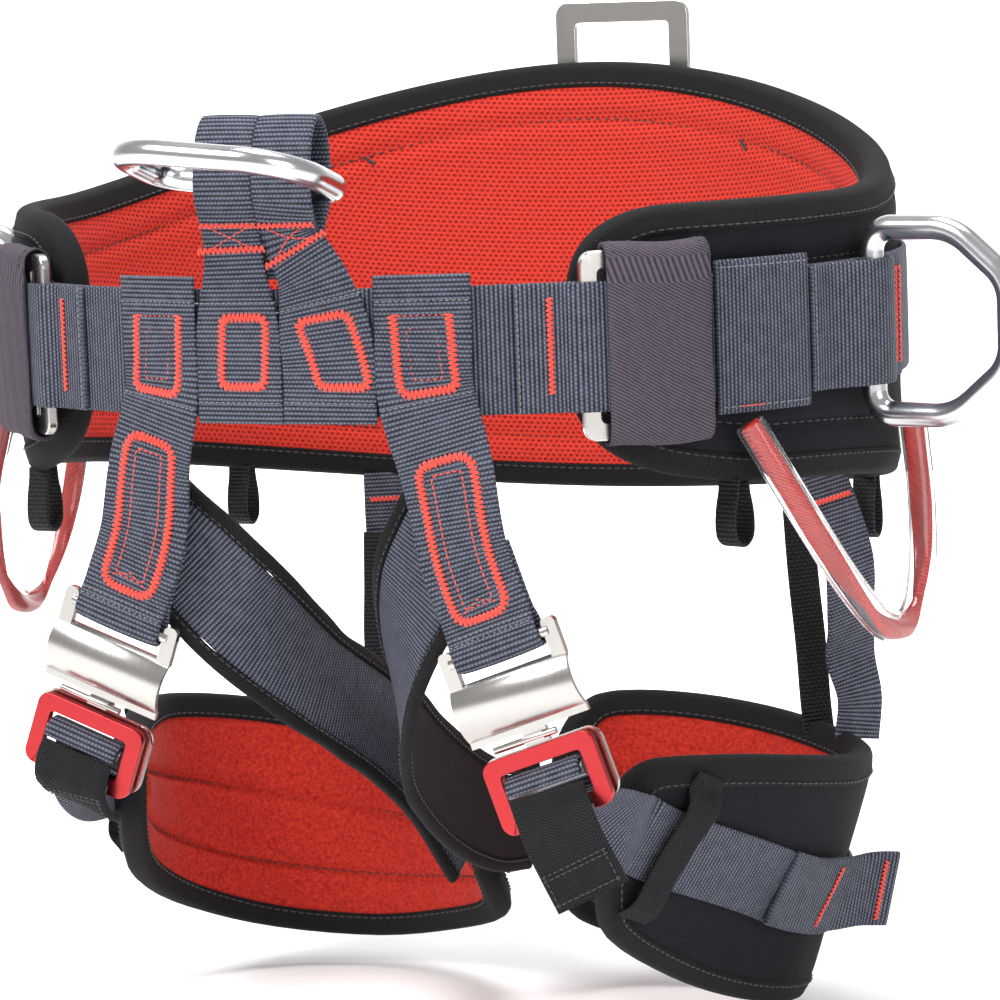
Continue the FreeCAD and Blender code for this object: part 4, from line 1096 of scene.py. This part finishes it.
def build_leg_webs(side, s):
    body = "leg_loop_" + side
    wrap = 3.0 + STRAP_PLAY + HALF_WEB
    _, x_dir, _, _ = connector_frame(side)
    fold = bar_fold(side, -0.4, SLIDER_Z, wrap, 1)
    start = [connector_at(side, 0, -0.4 - wrap, SLIDER_Z - 1.6)]
    leave = [connector_at(side, 0, y, SLIDER_Z + z) for y, z in ((4.4, -3), (8.0, -8.5))]
    on_pad = LEG_PAD_THICK + TAPE_STEP + STRAP_PLAY + HALF_WEB
    stops = curve(LEG_WEB_ROUTE[side], 10)
    route = [leg_on(side, u, v, on_pad) for u, v in stops]
    down = [unit(leg_on(side, u, 0, 0) - leg_on(side, u, 1, 0)) for u, _ in stops]
    lead = [vec(*p) for p in LEG_WEB_LEAD[side]]
    approach = list(curve(start + fold + leave + lead + route[:1], 10)[:-1])
    bound = 10 * (len(start + fold + leave) - 1)
    turning = smooth((np.arange(len(approach)) - bound) / (len(approach) - bound))
    across = [x_dir * (1 - t) + down[0] * t for t in turning] + down
    web = Strip(np.array(approach + route), np.array(across), LEG_WEB)
    lift = LEG_PAD_THICK + TAPE_STEP + 0.8 + 3.0
    stop_line = curve([leg_on(side, u, v, lift + more) for u, v, more in LEG_STOP[side]], 10)
    stop = Strip(stop_line, leg_on(side, 4, 0, 0) - leg_on(side, 4, 1, 0), LEG_WEB + 1, 2.6)
    strip_object("leg_webbing_" + side, [web, stop], "webbing", body, ["leg_web_" + side], ripple=0.12)
    tail_front = -0.4 - wrap
    tail_line = curve([connector_at(side, 0, tail_front, SLIDER_Z - 3.0)] + LEG_TAIL[side], 12)
    share = np.linspace(0, 1, len(tail_line))[:, None]
    tail = Strip(tail_line, x_dir * (1 - share) + vec(*TAIL_ACROSS[side]) * share, LEG_WEB, 3.0)
    strip_object("leg_tail_" + side, [tail], "black_web", body, ["leg_web_tail_" + side], ripple=0.2)
    over = LEG_PAD_THICK + TAPE_STEP + 0.8 + 0.6
    raised = over + 2.0 + 2.2 + 0.4
    band = curve(((1.5, 0.06, over), (1.46, 0.12, over), (1.4, 0.2, raised), (1.26, 0.38, raised),
                  (1.12, 0.56, raised), (1.0, 0.74, raised), (0.95, 0.84, over)), 10)
    line = [leg_on(side, u, v, out) for u, v, out in band]
    ahead = [leg_on(side, u + 0.4, v, 0) - leg_on(side, u, v, 0) for u, v, _ in band]
    keeper = Strip(np.array(line), np.array(ahead), 15.0, 1.0)
    strip_object("leg_keeper_" + side, [keeper], "black_web", body, ["leg_web_keeper_" + side])
    end = tail.total
    black = []
    for line in ([[(end - back, -12.5), (end - back, 12.5)] for back in (2.6, 12.0, 13.6)]
                 + [[(end - 13, x), (end - 2.6, x)] for x in (-12.4, 12.4)]):
        black += sew(tail, line, 2.4, 1.9, face=tail_face(tail))
    face, half = outward_face(stop, side), 11.5
    end, back = stop.total, min(34.0, stop.total - 6)
    red = bar_tack(stop, end - 5.5, -half, end - 5.5, half, 2.2, face)
    red += bar_tack(stop, end - back - 3, -half, end - back + 3, half, 2.0, face)
    joined("leg_stitching_" + side, [thread_piece(black, 0.28)], "black_thread", body)
    joined("leg_tacks_" + side, [thread_piece(red, 0.42)], "red_thread", body)


def tail_face(tail):
    """Which face of the tail looks forwards."""
    return 1 if tail.out[len(tail.out) // 2][1] < 0 else -1


def outward_face(strip, side):
    """Which face of a leg strap looks away from the thigh."""
    middle = LEG_FINE[side][:, :3].mean(0)
    i = len(strip.points) // 2
    return 1 if np.dot(strip.out[i], strip.points[i] - middle) > 0 else -1


CROTCH_STRAPS = {
    "left": (((58, -139, -62), (-0.4, 0, 0.9), 44), ((39, -134.5, -92), (-0.55, 0.2, 0.8), 43),
             ((24, -115, -122), (-0.5, 0.6, 0.62), 42), ((15, -84, -150), (-0.15, 0.75, 0.64), 42),
             ((10, -40, -176), (0, 0.5, 0.86), 43), ((7, 4, -194), (0, 0.3, 0.95), 43),
             ((3.5, 46, -202), (0.05, 0.1, 1), 43)),
    "right": (((-60, -142.5, -60), (0.22, 0, 0.97), 44), ((-43, -140.5, -76), (0.22, 0, 0.97), 44),
              ((-27, -130, -97), (0.2, 0.05, 0.97), 44),
              ((-14, -100, -124), (0, 0.3, 0.95), 44), ((-8, -60, -148), (0, 0.6, 0.8), 44),
              ((-7, -25, -172), (0, 0.7, 0.7), 43), ((-2, 4, -204), (0.1, 0.6, 0.8), 42)),
}


def frame_rings(strip, spans, section):
    """Rings in a strip's frames; a section point is (share of the span, height off the middle)."""
    rings = []
    for i, (low, high) in enumerate(spans):
        rings.append([strip.points[i] + strip.across[i] * (low + (high - low) * x) + strip.out[i] * y
                      for x, y in section])
    return np.array(rings)


def build_crotch_strap(side, s):
    stops = CROTCH_STRAPS[side]
    line = curve([p for p, _, _ in stops], 12)
    across = curve([-s * vec(*a) for _, a, _ in stops], 12)
    width = curve([(w,) for _, _, w in stops], 12)[:, 0]
    strip = Strip(line, across, width)
    halves = strip.width / 2
    tape, clear = 5.1, 0.2
    wave = 0.5 * np.sin(strip.s / 6.1) * np.exp(-((strip.s - 0.45 * strip.total) / 24) ** 2)
    inner = [(tape + clear - h, h - tape - clear) for h in halves]
    flat, v = flat_section(2.0)
    section = [((x + 1) / 2, y) for x, y in flat]
    web = surface_piece(frame_rings(strip, inner, section), strip.s, np.outer(halves, v))
    behind = [((x + 1) / 2, y * 0.6 - 1.9) for x, y in flat]
    backing = surface_piece(frame_rings(strip, inner, behind), strip.s, np.outer(halves, v))
    edge_section = [(0.0, 1.2), (0.5, 1.3), (0.85, 1.0), (1.0, 0.1), (1.0, -1.5), (0.85, -2.4),
                    (0.5, -2.7), (0.0, -2.6)]
    tapes = []
    for way in (1, -1):
        spans = [(way * (h - tape), way * (h + k)) for h, k in zip(halves, wave)]
        around = np.append(lengths(np.array(edge_section) * [tape, 1]), 20.0)
        tapes.append(surface_piece(frame_rings(strip, spans, edge_section), strip.s,
                                   np.tile(around, (len(strip.s), 1))))
    face = joined("crotch_webbing_" + side, [web], "webbing", None, ["crotch_web_" + side])
    back = joined("crotch_lining_" + side, [backing], "black_web", None, ["crotch_backing_" + side])
    rims = joined("crotch_tape_" + side, tapes, "edge_tape", None)
    lines = []
    for way in (1, -1):
        at = np.linspace(1, strip.total - 1, 120)
        x = way * (np.interp(at, strip.s, halves) - tape + 0.9)
        point, side_dir, out = strip.frame(at)
        for f, h in ((1, 1.35), (-1, 2.7)):
            lines += running_lines(point + side_dir * x[:, None] + out * (f * h), out * f, 3.2, 2.2)
    thread = joined("crotch_stitching_" + side, [thread_piece(lines, 0.26)], "black_thread", None)
    for piece in (face, back, rims, thread):
        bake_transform(piece)


REAR_STRAPS = {
    "rear_web_left": (((124, 60, -66), (0.6, 0.8, 0)), ((134, 60, -98), (0.6, 0.8, 0)),
                      ((131, 70, -124), (0.5, 0.85, 0)), ((128, 77, -140), (0.6, 0.8, 0)),
                      ((131, 78, -156), (0.5, 0.86, 0)), ((130, 76, -172), (0.5, 0.86, 0))),
    "rear_elastic_left": (((104, 86, -70), (0.7, 0.7, 0)), ((106, 85, -104), (0.7, 0.7, 0)),
                          ((109, 84, -134), (0.7, 0.7, 0)), ((111, 83, -160), (0.7, 0.7, 0)),
                          ((113, 82, -176), (0.7, 0.7, 0))),
    "rear_web_right": (((-86, 118, -76), (0.8, 0.6, 0)), ((-86, 118, -96), (0.8, 0.6, 0)),
                       ((-85, 117, -108), (0.8, 0.6, 0))),
    "rear_elastic_right": (((-88, 110, -100), (0.85, 0.5, 0)), ((-88, 108, -122), (0.8, 0.6, 0)),
                           ((-86, 102, -146), (0.8, 0.6, 0)), ((-82, 98, -168), (0.8, 0.6, 0)),
                           ((-81, 96, -182), (0.8, 0.6, 0))),
}


def build_rear_straps(side, s):
    pieces = []
    for name, width, thick, material, slot in (("rear_web_", 22, 2.0, "webbing", "webbing"),
                                               ("rear_elastic_", 13, 1.4, "elastic", "black_web")):
        line, across = (curve(column, 12) for column in zip(*REAR_STRAPS[name + side]))
        strip = Strip(line, across, width, thick, 1.2)
        pieces.append(strip_object(name + "strap_" + side, [strip], material, None, [name + side], slot,
                                   ripple=0.2))
        if name == "rear_web_":
            reds = [line for face in (1, -1) for line in bar_tack(strip, 11, -8.5, 11, 8.5, 2.2, face)]
            pieces.append(joined("rear_tack_" + side, [thread_piece(reds, 0.42)], "red_thread", None))
    for piece in pieces:
        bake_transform(piece)


# ---- metal and plastic: the CAD nodes themselves ----
def finish_cad_nodes():
    slots = {row["node"]: row["material_slot"] for row in frame["record"]["subparts"]}
    crisp = ("connector_plate", "connector_hook", "adjuster_frame", "waist_buckle_l", "waist_buckle_r")
    for name, node in nodes.items():
        node.data.materials.clear()
        node.data.materials.append(MATERIAL[slots[name]])
        if name.startswith(crisp):
            weld = node.modifiers.new("weld", "WELD")
            weld.merge_threshold = 0.00001
            bevel = node.modifiers.new("edge", "BEVEL")
            bevel.width, bevel.segments, bevel.limit_method = 0.0004, 2, "ANGLE"
            bevel.angle_limit = math.radians(35)
            bevel.harden_normals = True


# ---- stage, light and camera ----
def stage_and_light():
    floor_z, bend_y, bend = -0.2765, 2.0, 1.5
    mesh = bpy.data.meshes.new("floor")
    profile = [(-5.0, floor_z), (bend_y, floor_z)]
    profile += [(bend_y + bend * math.sin(t), floor_z + bend * (1 - math.cos(t)))
                for t in np.linspace(0.1, math.pi / 2, 12)]
    profile += [(3.5, 6.0)]
    points = [(x, y, z) for y, z in profile for x in (-7.0, 7.0)]
    faces = [(2 * i, 2 * i + 1, 2 * i + 3, 2 * i + 2) for i in range(len(profile) - 1)]
    mesh.from_pydata(points, [], faces)
    paper = Shader("backdrop")
    paper.set(Base_Color=(0.93, 0.93, 0.93, 1), Roughness=0.95, Specular_IOR_Level=0.1)
    mesh.materials.append(paper.material)
    floor = bpy.data.objects.new("floor", mesh)
    floor.rotation_euler = (0, 0, math.radians(24))
    bpy.context.scene.collection.objects.link(floor)
    world = bpy.data.worlds.new("studio")
    bpy.context.scene.world = world
    world.use_nodes = True
    sky = world.node_tree.nodes["Background"].inputs
    sky["Color"].default_value = (1, 1, 1, 1)
    sky["Strength"].default_value = 0.42
    middle = (0, 0, -0.07)
    for name, place, aim, size, power in (
            ("key", (-0.7, -1.5, 1.5), middle, 0.9, 44),
            ("fill", (1.7, -1.1, 0.6), middle, 1.2, 17),
            ("top", (0.1, 0.2, 1.9), middle, 1.0, 40),
            ("wall", (-0.4, 1.0, 1.1), (-1.2, 2.7, 0.1), 2.0, 70)):
        light = bpy.data.lights.new(name, "AREA")
        light.energy, light.size = power, size
        lamp = bpy.data.objects.new(name, light)
        lamp.location = place
        lamp.rotation_euler = (Vector(aim) - Vector(place)).to_track_quat("-Z", "Y").to_euler()
        bpy.context.scene.collection.objects.link(lamp)


def add_camera():
    azimuth, elevation, roll, distance = math.radians(24), math.radians(7.1), math.radians(2.1), 1.7
    target = Vector((0.01334, 0.00594, -0.0717))
    back = Vector((math.sin(azimuth) * math.cos(elevation), -math.cos(azimuth) * math.cos(elevation),
                   math.sin(elevation)))
    right = Vector((math.cos(azimuth), math.sin(azimuth), 0))
    up = back.cross(right)
    x_axis = right * math.cos(roll) - up * math.sin(roll)
    y_axis = up * math.cos(roll) + right * math.sin(roll)
    data = bpy.data.cameras.new("camera")
    data.lens, data.sensor_width = 160.34, 36.0
    camera = bpy.data.objects.new("camera", data)
    turn = Matrix((x_axis, y_axis, back)).transposed().to_4x4()
    camera.matrix_world = Matrix.Translation(target + back * distance) @ turn
    bpy.context.scene.collection.objects.link(camera)
    bpy.context.scene.camera = camera
    bpy.context.scene.view_settings.view_transform = "Standard"


finish_cad_nodes()
build_waist_pad()
build_belt()
build_sleeves()
build_ventral()
build_side_rings()
build_rear_ring_strap()
build_gear_loops()
build_tool_loops()
for side, s in SIDES:
    build_down_strap(side, s)
    build_leg_pad(side)
    build_leg_webs(side, s)
    build_crotch_strap(side, s)
    build_rear_straps(side, s)
for name, lines, radius, thread, slot in (("belt_satin", RED_SATIN, 0.46, "red_thread", "red_web"),
                                          ("belt_red_runs", RED_THIN, 0.3, "red_thread", "red_web"),
                                          ("belt_edge_runs", EDGE_RUNS, 0.26, "grey_thread", "webbing")):
    joined(name, [thread_piece(lines, radius)], thread, "root")
stage_and_light()
add_camera()
